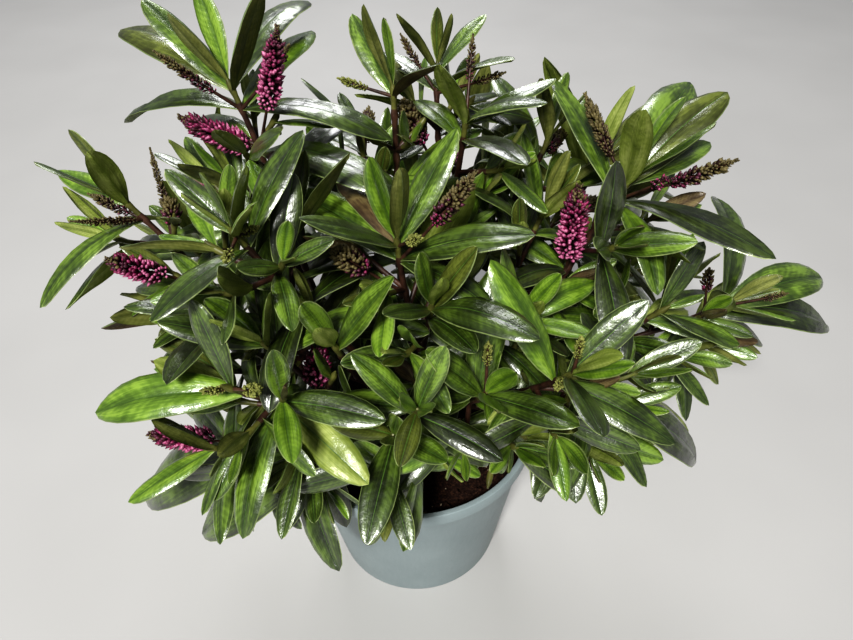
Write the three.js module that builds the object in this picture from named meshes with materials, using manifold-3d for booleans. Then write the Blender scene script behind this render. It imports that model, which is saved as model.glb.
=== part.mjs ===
// Potted hebe shrub: pot, root ball, a short main stem, boughs, and masses of leafy
// shoots with flower spikes. Millimetres, +Z up, -Y is the front.
// The origin is the middle of the pot's underside.

import * as THREE from "three";
import { mergeVertices } from "three/addons/utils/BufferGeometryUtils.js";
import Module from "manifold-3d";

const wasm = await Module();
wasm.setup();

// ---- driving dimensions ----

const CLEAR = 0.3; // gap between one solid and the next
const SMOOTHING = 0.1; // slivers thinner than this are smoothed out of a joined mass
const WELD = 1e-4; // points nearer than this are one point

// Pot: a thin tapering cup with a thickened rim band, stood on a flat base.
const POT_HEIGHT = 110;
const POT_RIM_RADIUS = 72.5;
const POT_BASE_RADIUS = 54;
const POT_WALL = 1.8;
const POT_FLOOR = 2.5;
const RIM_BAND_HEIGHT = 9;
const RIM_BAND_STEP = 1.6;
const POT_SIDES = 40;

// Root ball of potting soil.
const SOIL_TOP = 98;
const SOIL_DISH = 2;
const SOIL_LEVEL = 0.6; // the level middle, to the pot's radius

// Main stem: from the flat cut on the soil to the top fork.
const STEM_FOOT = new THREE.Vector3(-3, 4, SOIL_TOP + CLEAR);
const STEM_TOP = new THREE.Vector3(1, -2, 152);
const STEM_FOOT_RADIUS = 9.5;
const STEM_RADIUS = 6;
const STEM_TOP_RADIUS = 4.2;
const STEM_FLARE = 0.12; // where the flare of the foot ends, to the stem's length
const STEM_FLARE_RADIUS = 7;
const STEM_TAPER = 0.3; // where the taper to the top begins
const STEM_SIDES = 10;

// Boughs and twigs.
const BOUGH_RADIUS = 2.5; // where a bough leaves the main stem
const TWIG_RADIUS = 1.3; // at a shoot's tip
const BOUGH_SHARE = 0.36; // part of a limb that is bare bough
const BOUGH_MIN = 46;
const BOUGH_SIDES = 5;
const BOUGH_STEPS = 5;
const TWIG_SIDES = 3;
const CORNER_SHARE = 1.5; // how far a three-sided twig's corners stand out, to its radius
const LIMB_STEPS = 48;
const LIMB_REACH = 0.36; // how far a limb's ends run straight on, to its length
const LIMB_TAPER = 0.7;
const OUTWARD = 0.9; // how far a bough leaves the stem sideways
const TIP_CENTRE = 80; // the height that all the shoots' tips point away from
const TUBE_STEP = 16; // length of a straight step in a twig's solid
const SPACE_STEP = 2; // between the places where a limb's clear space is tested
const START_HEIGHTS = [110, 115, 120, 125, 130, 135, 140, 145, 150]; // where boughs may leave the stem
const START_TURNS = [0, 20, -20, 40, -40, 60, -60, 85, -85]; // degrees tried round the stem
const FORK_SHARES = [0.1, 0.2, 0.3, 0.4, 0.02, 0.5]; // where a side shoot may leave its mass's stem
const LIMB_SPACE = 0.9; // clear space kept between limbs
const FORK_START = 4; // past the bough's end
const FORK_FOOT = 0.85; // of its parent's radius
const FORK_BARE = 6; // length inside or beside its parent
const LEAFLESS = 5; // past the bough's end
const FORK_LEAFLESS = 7;

// Leaves: lance-shaped, in crossed pairs, keeled below, bent back with age.
const LEAF_STEPS = 12;
const LEAF_WIDTH = 0.345; // of its length, laid flat
const LEAF_FOLD = 30; // degrees each half blade lifts from the midrib
const LEAF_NARROWS = [0.8, 0.62]; // how sharply it narrows to its foot and to its tip
const LEAF_LIFT = 0.5; // the margins' lift kept in a leaf's solid
const LEAF_KEEL = 0.3; // the midrib stands out below
const KEEL_MARGIN = 1.6; // extra space below the keel, to the margin
const LEAF_MARGIN = 0.35; // space kept round a leaf
const LEAF_FREE = 2; // step past which a leaf keeps clear of its own shoot's leaves
// From the shoot's tip down: length as a share, degrees off the stem, bend back, step down
// the stem, and the steps of the midrib that carry a cross-section.
const PAIRS = [
  { share: 0.5, spread: 15, recurve: -8, step: 2, stations: [6] },
  { share: 0.68, spread: 34, recurve: 8, step: 5, stations: [6] },
  { share: 0.9, spread: 52, recurve: 26, step: 9, stations: [3, 9] },
  { share: 1.0, spread: 62, recurve: 42, step: 21, stations: [3, 9] },
  { share: 1.0, spread: 68, recurve: 46, step: 22, stations: [3, 9] },
];
const PLACE_VARIES = 0.16; // how much pairs differ in their step down the stem
const TURN_VARIES = 16; // degrees
const SPREAD_VARIES = 14; // degrees
const LENGTH_VARIES = 0.2;
const SAG = 0.24; // pull of the leaf's weight over its length
const FACE_UP = 0.9; // how far a blade twists to face the light
// Ways tried, in turn, to fit a leaf in free space: turn, lift (degrees) and length share.
const FITS = [
  [0, 0, 1], [13, 0, 1], [-13, 0, 1], [0, 14, 1], [0, -14, 1],
  [26, 8, 0.92], [-26, 8, 0.92], [12, -22, 0.85], [-12, 22, 0.85], [0, 0, 0.7],
];

// A side twig, grown by rule from each mass's lower stems where there is most room.
const TWIG_STARTS = [46, 66, 86, 106]; // from the shoot's tip
const TWIG_TURNS = [20, 110, 200, 290];
const TWIG_SHORTEST = 30;
const TWIG_LONGER = 14; // at most
const TWIG_RISE = 0.3; // how far it turns up to the light
const TWIG_FOOT = 0.8; // of its parent's radius
const TWIG_BARE = 5;
const TWIG_LEAFLESS = 6;
const TWIG_SPREAD = 50; // degrees off the stem
const TWIG_ROOM = 33; // between the tips of shoots
const TWIG_PAIRS = 3;
const TWIG_LEAF = 58;
const TWIG_LEAF_LONGER = 8; // at most
const TWIG_SEEDS = { first: 500, step: 31 };
const LEAF_SEEDS = { first: 1000, step: 77 };

// Flower spikes: a stalk and a spindle of buds.
const SPIKE_SIDES = 5;
const SPIKE_STALK_RADIUS = 0.8;
const SPIKE_STALK_IN = 2; // how far the stalk runs up into the spindle
const SPIKE_RINGS = [[0.0, 0.6], [0.2, 1.0], [0.7, 0.75]]; // along, width share
const LIGHT = new THREE.Vector3(0, -280, 430); // leaves keep off a spike's side towards it
const LIGHT_REACH = 110; // how far they keep off
// A gap in the crown at the front, where light gets down to the soil: its foot and reach.
const GAP_FOOT = [[10, -50], [34, -60], [56, -38], [38, -41]];
const GAP_REACH = 200;

// Each mass: its shoots, the first being the one its stem runs on into. A shoot has its tip,
// the compass turn of its third pair of leaves (0 right, 90 back, 180 left, -90 front),
// its full leaf length, its largest leaves where they stand out:
// [pair it grows from, compass turn, degrees off the stem, length],
// and, where it flowers, its spikes:
// [pair it grows from, compass turn, degrees off the stem, length, radius, stalk length].
const MASSES = {
  left_back: [
    {
      tip: [-78, 27, 313], turn: 60, leaf: 81,
      largest: [[3, 190, 32, 70], [1, 140, 32, 82], [1, 60, 48, 82], [2, 0, 104, 88], [2, 170, 56, 78]],
      spikes: [
        [2, 210, 35, 44, 3, 14], [3, 315, 44, 80, 4.5, 32], [2, 330, 62, 50, 3.5, 20],
        [3, 180, 53, 38, 6, 4],
      ],
    },
    { tip: [-87, 28, 261], turn: 165, leaf: 56, largest: [[3, 50, 56, 64]] },
  ],
  left_tip: [
    {
      tip: [-129, -6, 273], turn: 225, leaf: 67,
      largest: [[2, 210, 56, 64]],
      spikes: [
        [3, 60, 35, 50, 2.4, 20], [3, 15, 35, 26, 5, 12], [2, 255, 53, 38, 2.4, 4],
        [2, 180, 26, 26, 3, 6],
      ],
    },
    { tip: [-112, -15, 236], turn: 155, leaf: 57, spikes: [[1, 255, 26, 38, 5.5, 9]] },
  ],
  left_front: [
    { tip: [-83, -43, 240], turn: 85, leaf: 63 },
    { tip: [-95, -41, 196], turn: 100, leaf: 63 },
  ],
  front_left: [
    {
      tip: [-72, -92, 237], turn: 175, leaf: 59,
      largest: [[2, 190, 40, 70], [3, 320, 72, 58]],
      spikes: [[1, 210, 26, 14, 2.4, 3], [1, 345, 71, 20, 3.5, 10], [4, 45, 62, 32, 7.5, 13]],
    },
    { tip: [-61, -67, 238], turn: 80, leaf: 68, largest: [[2, 10, 56, 52]] },
  ],
  front_left_low: [
    {
      tip: [-101, -67, 167], turn: 115, leaf: 68,
      largest: [[3, 190, 24, 112]],
      spikes: [[3, 130, 16, 59, 7, 28]],
    },
    { tip: [-50, -80, 164], turn: 225, leaf: 52, largest: [[1, 210, 72, 82]] },
  ],
  centre_left: [
    {
      tip: [-65, -59, 290], turn: 45, leaf: 57,
      spikes: [[1, 270, 71, 20, 2.4, 10], [1, 345, 71, 14, 2.4, 3]],
    },
  ],
  centre: [
    {
      tip: [-2, -45, 274], turn: 140, leaf: 78,
      largest: [[2, 330, 72, 52], [1, 110, 72, 76]],
      spikes: [[3, 195, 35, 44, 6.5, 24], [1, 315, 44, 20, 3, 10], [2, 345, 35, 62, 4.5, 29]],
    },
    { tip: [12, -64, 254], turn: 125, leaf: 57, largest: [[1, 300, 32, 64]] },
  ],
  top_back: [
    {
      tip: [-3, 24, 310], turn: 215, leaf: 70,
      largest: [[4, 0, 32, 58], [4, 140, 32, 52]],
      spikes: [[1, 180, 71, 26, 2.4, 12]],
    },
    { tip: [-22, 37, 280], turn: 170, leaf: 77, largest: [[4, 220, 40, 64]] },
  ],
  top_right: [
    {
      tip: [18, 49, 310], turn: 125, leaf: 52,
      spikes: [[4, 225, 26, 50, 6.5, 24], [2, 165, 35, 32, 2.4, 15], [2, 330, 71, 38, 2.4, 21]],
    },
    {
      tip: [30, 8, 303], turn: 290, leaf: 67,
      largest: [[1, 320, 40, 46]],
      spikes: [[1, 90, 35, 38, 2.5, 18]],
    },
  ],
  right_back: [
    {
      tip: [103, -11, 280], turn: 135, leaf: 79,
      largest: [[3, 220, 72, 64], [2, 290, 72, 52], [1, 70, 32, 80], [1, 50, 24, 64], [4, 210, 64, 48]],
      spikes: [
        [1, 150, 62, 44, 4, 14], [2, 315, 35, 56, 4, 26], [2, 285, 35, 32, 2.5, 22],
        [4, 205, 28, 52, 7.5, 10],
      ],
    },
    { tip: [108, 65, 246], turn: 210, leaf: 82, largest: [[1, 210, 88, 64], [1, 250, 88, 40]] },
  ],
  right_tip: [
    {
      tip: [169, -7, 202], turn: 180, leaf: 52,
      largest: [[2, 10, 24, 94], [1, 30, 16, 76], [1, 110, 48, 88]],
      spikes: [[1, 285, 17, 32, 2.4, 20], [2, 165, 62, 26, 3.5, 12]],
    },
    { tip: [126, -30, 219], turn: 10, leaf: 56, largest: [[2, 20, 48, 64]] },
  ],
  right_front: [
    {
      tip: [100, -66, 190], turn: 315, leaf: 52,
      largest: [[3, 190, 56, 64], [3, 0, 48, 94], [1, 350, 64, 82]],
    },
    { tip: [103, -66, 211], turn: 140, leaf: 52, largest: [[4, 340, 80, 64]] },
  ],
  front_right: [
    {
      tip: [69, -86, 233], turn: 150, leaf: 66,
      largest: [[3, 230, 56, 40]],
      spikes: [[1, 225, 62, 14, 2.4, 3], [0, 120, 35, 20, 2.4, 8]],
    },
    { tip: [48, -91, 192], turn: 105, leaf: 52, largest: [[1, 320, 64, 40]] },
  ],
  front_middle: [
    { tip: [34, -84, 220], turn: 255, leaf: 74, spikes: [[0, 105, 44, 26, 2.5, 14]] },
  ],
  front: [
    { tip: [-6, -92, 204], turn: 255, leaf: 52 },
    { tip: [5, -99, 228], turn: 155, leaf: 52, largest: [[3, 330, 88, 58]] },
    { tip: [-10, -93, 172], turn: 240, leaf: 54, largest: [[2, 270, 48, 40], [1, 260, 56, 40]] },
  ],
  inner_left: [
    { tip: [-29, -75, 242], turn: 105, leaf: 71 },
  ],
  centre_right: [
    { tip: [53, -50, 233], turn: 65, leaf: 59, largest: [[1, 40, 48, 46]] },
    { tip: [67, -3, 259], turn: 205, leaf: 59 },
  ],
  back_right_top: [
    { tip: [75, 41, 276], turn: 315, leaf: 58, spikes: [[2, 60, 75, 36, 5, 10]] },
  ],
  back_left: [
    { tip: [-112, 76, 231], turn: 90, leaf: 74, spikes: [[2, 150, 40, 40, 6, 11]] },
    { tip: [-124, 47, 206], turn: 255, leaf: 73 },
  ],
  back_middle: [
    { tip: [-27, 106, 248], turn: 110, leaf: 72, spikes: [[2, 80, 35, 36, 5, 10]] },
    { tip: [-62, 104, 190], turn: 130, leaf: 66 },
  ],
  back_right: [
    { tip: [38, 125, 241], turn: 190, leaf: 71, spikes: [[3, 95, 45, 44, 6.5, 12]] },
    { tip: [50, 108, 186], turn: 60, leaf: 66 },
  ],
  right_back_low: [
    { tip: [91, 65, 218], turn: 210, leaf: 64, spikes: [[2, 30, 40, 38, 5.5, 11]] },
    { tip: [139, 48, 183], turn: 15, leaf: 56 },
  ],
};

// ---- vectors, random numbers and skins ----

const UP = new THREE.Vector3(0, 0, 1);
const rad = THREE.MathUtils.degToRad;

// Park-Miller random numbers from 0 to 1, one stream for each mass.
function stream(seed) {
  let state = seed;
  return () => {
    state = (state * 16807) % 2147483647;
    return state / 2147483647;
  };
}

function blend(a, b, share) {
  return a.clone().lerp(b, share);
}

// The part of v square to the unit vector axis, made unit length.
function squareTo(v, axis) {
  return v.clone().addScaledVector(axis, -v.dot(axis)).normalize();
}

// A closed skin through rings of points. A ring of one point closes an end in a tip;
// any other end ring is closed flat by a fan.
function loft(rings) {
  const points = rings.flat();
  const faces = [];
  let start = 0;
  for (let i = 0; i + 1 < rings.length; i++) {
    const [a, b] = [rings[i].length, rings[i + 1].length];
    const next = start + a;
    for (let j = 0; j < Math.max(a, b); j++) {
      const k = (j + 1) % Math.max(a, b);
      if (a > 1) faces.push([start + j, start + k, next + (b > 1 ? k : 0)]);
      if (b > 1) faces.push([start + (a > 1 ? j : 0), next + k, next + j]);
    }
    start = next;
  }
  for (let j = 1; j + 1 < rings[0].length; j++) faces.push([0, j + 1, j]);
  for (let j = 1; j + 1 < rings.at(-1).length; j++) faces.push([start, start + j, start + j + 1]);
  const geometry = new THREE.BufferGeometry().setFromPoints(points);
  geometry.setIndex(faces.flat());
  return geometry;
}

function solidOf(geometry) {
  for (const name of ["normal", "uv"]) geometry.deleteAttribute(name);
  const merged = mergeVertices(geometry, WELD);
  return new wasm.Manifold(new wasm.Mesh({
    numProp: 3,
    vertProperties: new Float32Array(merged.attributes.position.array),
    triVerts: new Uint32Array(merged.index.array),
  }));
}

function geometryOf(solid) {
  const mesh = solid.getMesh();
  const geometry = new THREE.BufferGeometry();
  geometry.setAttribute("position", new THREE.BufferAttribute(mesh.vertProperties, 3));
  geometry.setIndex(new THREE.BufferAttribute(mesh.triVerts, 1));
  geometry.computeVertexNormals();
  return geometry;
}

// Joins solids into one body: loose scraps are dropped and sealed hollows filled,
// because only the largest outer skin is kept.
function fuse(solids) {
  const parts = wasm.Manifold.union(solids).simplify(SMOOTHING).decompose();
  return parts.reduce((best, part) => (part.volume() > best.volume() ? part : best));
}

function touches(solid, others) {
  const box = solid.boundingBox();
  return others.some((other) => {
    const apart = [0, 1, 2].some((i) => (
      box.min[i] > other.box.max[i] || other.box.min[i] > box.max[i]));
    if (apart) return false;
    const shared = solid.intersect(other.solid);
    const hit = !shared.isEmpty();
    shared.delete();
    return hit;
  });
}

// ---- limbs ----

// A limb is a bent line cut into short straight steps, with its length counted along it.
function limbAlong(from, to, outDirection, tipDirection) {
  const reach = from.distanceTo(to) * LIMB_REACH;
  const curve = new THREE.CubicBezierCurve3(
    from,
    from.clone().addScaledVector(outDirection, reach),
    to.clone().addScaledVector(tipDirection, -reach),
    to,
  );
  const points = curve.getPoints(LIMB_STEPS);
  const lengths = [0];
  for (let i = 1; i < points.length; i++) {
    lengths.push(lengths[i - 1] + points[i].distanceTo(points[i - 1]));
  }
  return { points, lengths, length: lengths.at(-1) };
}

function pointAt(limb, distance) {
  const s = THREE.MathUtils.clamp(distance, 0, limb.length);
  let i = 1;
  while (i < LIMB_STEPS && limb.lengths[i] < s) i++;
  const share = (s - limb.lengths[i - 1]) / (limb.lengths[i] - limb.lengths[i - 1]);
  return blend(limb.points[i - 1], limb.points[i], share);
}

function directionAt(limb, distance) {
  const s = THREE.MathUtils.clamp(distance, 1, limb.length - 1);
  return pointAt(limb, s + 1).sub(pointAt(limb, s - 1)).normalize();
}

// The radius tapers from the bough's foot to the shoot's tip.
function radiusAt(limb, distance) {
  const share = Math.min(1, Math.max(0, distance / limb.length));
  return limb.footRadius + (TWIG_RADIUS - limb.footRadius) * share ** LIMB_TAPER;
}

function ring(centre, direction, radius, sides) {
  const reference = Math.abs(direction.z) > 0.8 ? new THREE.Vector3(1, 0, 0) : UP;
  const across = squareTo(reference, direction);
  const other = direction.clone().cross(across);
  return Array.from({ length: sides }, (_, i) => {
    const angle = (2 * Math.PI * i) / sides;
    return centre.clone()
      .addScaledVector(across, radius * Math.cos(angle))
      .addScaledVector(other, radius * Math.sin(angle));
  });
}

// A tapering tube along part of a limb.
function tube(limb, start, end, steps, sides) {
  const across = squareTo(limb.side, directionAt(limb, (start + end) / 2));
  const rings = [];
  for (let i = 0; i <= steps; i++) {
    const s = start + ((end - start) * i) / steps;
    const direction = directionAt(limb, s);
    const first = squareTo(across, direction);
    const second = direction.clone().cross(first);
    const radius = radiusAt(limb, s) * (sides === TWIG_SIDES ? CORNER_SHARE : 1);
    rings.push(Array.from({ length: sides }, (_, j) => {
      const angle = (2 * Math.PI * j) / sides;
      return pointAt(limb, s)
        .addScaledVector(first, radius * Math.cos(angle))
        .addScaledVector(second, radius * Math.sin(angle));
    }));
  }
  return loft(rings);
}

// Whether a limb keeps its space from the limbs already grown, past its first stretch.
function clearOf(limb, grown, skip) {
  for (let s = skip; s <= limb.length; s += SPACE_STEP) {
    const p = pointAt(limb, s);
    for (const other of grown) {
      for (let i = 0; i < other.points.length; i++) {
        if (other.lengths[i] < other.bare) continue;
        const room = radiusAt(limb, s) + radiusAt(other, other.lengths[i]) + LIMB_SPACE;
        if (p.distanceTo(other.points[i]) < room) return false;
      }
    }
  }
  return true;
}

function tipDirection(tip) {
  return new THREE.Vector3(tip.x, tip.y, tip.z - TIP_CENTRE).normalize();
}

function stemPoint(height) {
  const share = (height - STEM_FOOT.z) / (STEM_TOP.z - STEM_FOOT.z);
  return blend(STEM_FOOT, STEM_TOP, share);
}

// How far along a bough's line it comes out of the main stem.
function leavesStem(limb) {
  const axis = new THREE.Line3(STEM_FOOT, STEM_TOP);
  const nearest = new THREE.Vector3();
  const i = limb.points.findIndex((p) => (
    axis.closestPointToPoint(p, false, nearest).distanceTo(p) > STEM_RADIUS - BOUGH_RADIUS));
  return limb.lengths[i];
}

// A bough and the mass's main shoot are one limb from the main stem to the tip. It leaves
// the stem at the first height and turn that keep it clear of the limbs already grown.
function growLimb(tip, grown) {
  for (const height of START_HEIGHTS) {
    for (const turn of START_TURNS) {
      const from = stemPoint(height);
      const chord = tip.clone().sub(from).normalize();
      const outward = new THREE.Vector3(tip.x, tip.y, 0).normalize().applyAxisAngle(UP, rad(turn));
      const leaving = chord.clone().addScaledVector(outward, OUTWARD).normalize();
      const limb = limbAlong(from, tip, leaving, tipDirection(tip));
      limb.side = UP.clone().cross(outward).normalize();
      limb.footRadius = BOUGH_RADIUS;
      limb.bare = leavesStem(limb);
      if (clearOf(limb, grown, limb.bare)) return limb;
    }
  }
  return null;
}

// A side shoot forks from its mass's stem.
function growFork(parent, from, tip, grown) {
  for (const share of FORK_SHARES) {
    const s = from + (parent.length - from) * share;
    const start = pointAt(parent, s);
    const chord = tip.clone().sub(start).normalize();
    const leaving = chord.clone().add(directionAt(parent, s)).normalize();
    const limb = limbAlong(start, tip, leaving, tipDirection(tip));
    limb.side = squareTo(parent.side, chord);
    limb.footRadius = radiusAt(parent, s) * FORK_FOOT;
    limb.bare = FORK_BARE;
    if (clearOf(limb, grown.filter((other) => other !== parent), limb.bare)) return limb;
  }
  return null;
}

// A side twig starts in a leaf's axil and is kept where its tip has room.
function growTwig(parent, grown, random) {
  for (const fromTip of TWIG_STARTS) {
    const s = parent.length - fromTip;
    const direction = directionAt(parent, s);
    const first = squareTo(parent.side, direction);
    for (const turn of TWIG_TURNS) {
      const length = TWIG_SHORTEST + TWIG_LONGER * random();
      if (s < parent.bareTo) continue;
      const start = pointAt(parent, s);
      const out = first.clone().applyAxisAngle(direction, rad(turn));
      const leaving = direction.clone().multiplyScalar(Math.cos(rad(TWIG_SPREAD)))
        .addScaledVector(out, Math.sin(rad(TWIG_SPREAD)));
      const tip = start.clone().addScaledVector(leaving, length);
      const limb = limbAlong(start, tip, leaving, blend(leaving, UP, TWIG_RISE).normalize());
      limb.side = squareTo(parent.side, leaving);
      limb.footRadius = radiusAt(parent, s) * TWIG_FOOT;
      limb.bare = TWIG_BARE;
      limb.bareTo = TWIG_LEAFLESS;
      const crowded = grown.some((other) => other.points.at(-1).distanceTo(tip) < TWIG_ROOM);
      const others = grown.filter((other) => other !== parent);
      if (!crowded && clearOf(limb, others, limb.bare)) return limb;
    }
  }
  return null;
}

// ---- leaves and flower spikes ----

// Part of the full width along a leaf, 1 where it is widest.
function leafWidthShare(share) {
  const [foot, tip] = LEAF_NARROWS;
  const widest = foot / (foot + tip);
  return (share / widest) ** foot * ((1 - share) / (1 - widest)) ** tip;
}

// The midrib from the stem outward: it bends back from the stem, sags with its own weight
// and turns its upper face to the light.
function midrib(root, direction, face, length, recurve) {
  const step = length / LEAF_STEPS;
  const bend = rad(recurve) / LEAF_STEPS;
  let [p, d, n] = [root.clone(), direction.clone(), face.clone()];
  const line = [{ p, d, n }];
  for (let i = 1; i <= LEAF_STEPS; i++) {
    d = d.clone().addScaledVector(n, -bend).addScaledVector(UP, -SAG / LEAF_STEPS).normalize();
    n = squareTo(n.clone().addScaledVector(UP, FACE_UP / LEAF_STEPS), d);
    p = p.clone().addScaledVector(d, step);
    line.push({ p, d, n });
  }
  return line;
}

// A leaf solid is a keeled blade: flat above, with its midrib as the keel below.
function leafSolid(line, length, stations, margin, first = 0) {
  const rings = [[line[first].p.clone()]];
  for (const i of stations) {
    const { p, d, n } = line[i];
    const half = 0.5 * length * LEAF_WIDTH * leafWidthShare(i / LEAF_STEPS);
    const across = n.clone().cross(d).multiplyScalar(half * Math.cos(rad(LEAF_FOLD)) + margin);
    const rise = LEAF_LIFT * half * Math.sin(rad(LEAF_FOLD));
    rings.push([
      p.clone().add(across).addScaledVector(n, rise + margin),
      p.clone().sub(across).addScaledVector(n, rise + margin),
      p.clone().addScaledVector(n, -rise - LEAF_KEEL - KEEL_MARGIN * margin),
    ]);
  }
  const tip = line.at(-1);
  rings.push([tip.p.clone().addScaledVector(tip.d, margin)]);
  return solidOf(loft(rings));
}

// The place on a limb of a pair of leaves, counted from its tip.
function pairPlace(limb, pair) {
  return limb.length - PAIRS.slice(0, pair + 1).reduce((sum, item) => sum + item.step, 0);
}

function compassDirection(degrees) {
  return new THREE.Vector3(Math.cos(rad(degrees)), Math.sin(rad(degrees)), 0);
}

// A shoot's largest leaves, then both leaves of its pairs, from its tip down its stem.
function leafPlan(shoot, limb, random) {
  const plan = (shoot.largest ?? []).map(([pair, compass, off, length]) => {
    const s = pairPlace(limb, pair);
    const direction = directionAt(limb, s);
    const axis = squareTo(compassDirection(compass), direction);
    return {
      limb, root: pointAt(limb, s), direction, axis, turn: 0, spread: off, length,
      pair: PAIRS.at(-1), index: -1,
    };
  });
  const first = compassDirection(shoot.turn);
  let fromTip = 0;
  PAIRS.slice(0, shoot.pairs).forEach((pair, index) => {
    fromTip += pair.step * (1 + PLACE_VARIES * (random() - 0.5));
    const s = limb.length - fromTip;
    const direction = directionAt(limb, s);
    const axis = squareTo(first, direction).applyAxisAngle(direction, rad(index % 2 ? 90 : 0));
    for (const side of [0, 180]) {
      const turn = side + TURN_VARIES * (random() - 0.5);
      const spread = pair.spread + SPREAD_VARIES * (random() - 0.5);
      const length = shoot.leaf * pair.share * (1 + LENGTH_VARIES * (random() - 0.5));
      if (s < limb.bareTo) continue;
      plan.push({ limb, root: pointAt(limb, s), direction, axis, turn, spread, length, pair, index });
    }
  });
  return plan;
}

// The first way of setting a planned leaf that touches nothing, or null.
function fitLeaf(plan, taken) {
  const others = taken.filter((item) => item.limb !== plan.limb);
  const own = taken.filter((item) => item.blade && item.limb === plan.limb);
  for (const [turn, lift, share] of FITS) {
    const spread = rad(plan.spread - lift);
    const out = plan.axis.clone().applyAxisAngle(plan.direction, rad(plan.turn + turn));
    const d = plan.direction.clone().multiplyScalar(Math.cos(spread)).addScaledVector(out, Math.sin(spread));
    const n = plan.direction.clone().multiplyScalar(Math.sin(spread)).addScaledVector(out, -Math.cos(spread));
    const length = plan.length * share;
    const line = midrib(plan.root, d, n, length, plan.pair.recurve);
    const wide = leafSolid(line, length, plan.pair.stations, LEAF_MARGIN);
    const blade = leafSolid(line, length, plan.pair.stations, LEAF_MARGIN, LEAF_FREE);
    const blocked = touches(wide, others) || touches(blade, own);
    wide.delete();
    blade.delete();
    if (!blocked) return leafSolid(line, length, plan.pair.stations, 0);
  }
  return null;
}

// A flower spike: a thin stalk and a spindle of buds, and the lit room that it keeps open.
function spikeSolids(limb, spike) {
  const [pair, compass, off, length, radius, stalk] = spike;
  const s = pairPlace(limb, pair);
  const direction = directionAt(limb, s);
  const out = squareTo(compassDirection(compass), direction);
  const d = direction.clone().multiplyScalar(Math.cos(rad(off))).addScaledVector(out, Math.sin(rad(off)));
  const root = pointAt(limb, s);
  const foot = root.clone().addScaledVector(d, stalk);
  const body = SPIKE_RINGS.map(([along, share]) => (
    ring(foot.clone().addScaledVector(d, along * (length - stalk)), d, radius * share, SPIKE_SIDES)));
  body.push([foot.clone().addScaledVector(d, length - stalk)]);
  const stem = loft([
    ring(root, d, SPIKE_STALK_RADIUS, TWIG_SIDES),
    ring(foot.clone().addScaledVector(d, SPIKE_STALK_IN), d, SPIKE_STALK_RADIUS, TWIG_SIDES),
  ]);
  const toLight = LIGHT.clone().sub(foot).normalize();
  const across = d.clone().cross(toLight).normalize().multiplyScalar(radius);
  const end = root.clone().addScaledVector(d, length);
  const near = [
    foot.clone().sub(across), foot.clone().add(across), end.clone().add(across), end.clone().sub(across),
  ];
  const far = near.map((p) => p.clone().addScaledVector(toLight, LIGHT_REACH));
  return { solids: [solidOf(stem), solidOf(loft(body))], lit: solidOf(loft([near, far])) };
}

// ---- pot, soil and main stem ----

const hebe = new THREE.Group();

function addNode(name, geometry, look) {
  const mesh = new THREE.Mesh(geometry, new THREE.MeshStandardMaterial(look));
  mesh.name = name;
  hebe.add(mesh);
}

function wallRadius(z) {
  return POT_BASE_RADIUS + ((POT_RIM_RADIUS - RIM_BAND_STEP - POT_BASE_RADIUS) * z) / POT_HEIGHT;
}

// A solid turned about the Z axis, stood up from the lathe's Y axis.
function turned(profile, sides) {
  const outline = profile.map(([r, z]) => new THREE.Vector2(r, z));
  return new THREE.LatheGeometry(outline, sides).rotateX(Math.PI / 2);
}

const potSolid = solidOf(turned([
  [0, 0],
  [POT_BASE_RADIUS, 0],
  [wallRadius(POT_HEIGHT - RIM_BAND_HEIGHT), POT_HEIGHT - RIM_BAND_HEIGHT],
  [POT_RIM_RADIUS, POT_HEIGHT - RIM_BAND_HEIGHT],
  [POT_RIM_RADIUS, POT_HEIGHT],
  [wallRadius(POT_HEIGHT) - POT_WALL, POT_HEIGHT],
  [wallRadius(POT_FLOOR) - POT_WALL, POT_FLOOR],
  [0, POT_FLOOR],
], POT_SIDES));

const soilFoot = POT_FLOOR + CLEAR;
const soilSolid = solidOf(turned([
  [0, soilFoot],
  [wallRadius(soilFoot) - POT_WALL - CLEAR, soilFoot],
  [wallRadius(SOIL_TOP - SOIL_DISH) - POT_WALL - CLEAR, SOIL_TOP - SOIL_DISH],
  [wallRadius(SOIL_TOP) * SOIL_LEVEL, SOIL_TOP],
  [0, SOIL_TOP],
], POT_SIDES));

// The main stem: a flared foot, a leaning shaft and a rounded top.
function stemSkin(extra) {
  const rings = [
    [0, STEM_FOOT_RADIUS], [STEM_FLARE, STEM_FLARE_RADIUS], [STEM_TAPER, STEM_RADIUS], [1, STEM_TOP_RADIUS],
  ];
  const axis = STEM_TOP.clone().sub(STEM_FOOT).normalize();
  return loft(rings.map(([share, radius], i) => {
    const ends = i === 0 ? -extra : (i === rings.length - 1 ? extra : 0);
    const centre = blend(STEM_FOOT, STEM_TOP, share).addScaledVector(UP, ends);
    return ring(centre, i === 0 ? UP : axis, radius + extra, STEM_SIDES);
  }));
}

const stemSolid = solidOf(stemSkin(0));
const stemRoom = solidOf(stemSkin(CLEAR));

addNode("pot", geometryOf(potSolid), { color: "#97a5a4", roughness: 0.6, metalness: 0 });
addNode("soil", geometryOf(soilSolid), { color: "#2a1c18", roughness: 1, metalness: 0 });
addNode("main_stem", geometryOf(stemSolid), { color: "#5c4a3a", roughness: 0.85, metalness: 0 });

// ---- boughs and masses of foliage ----

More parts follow.
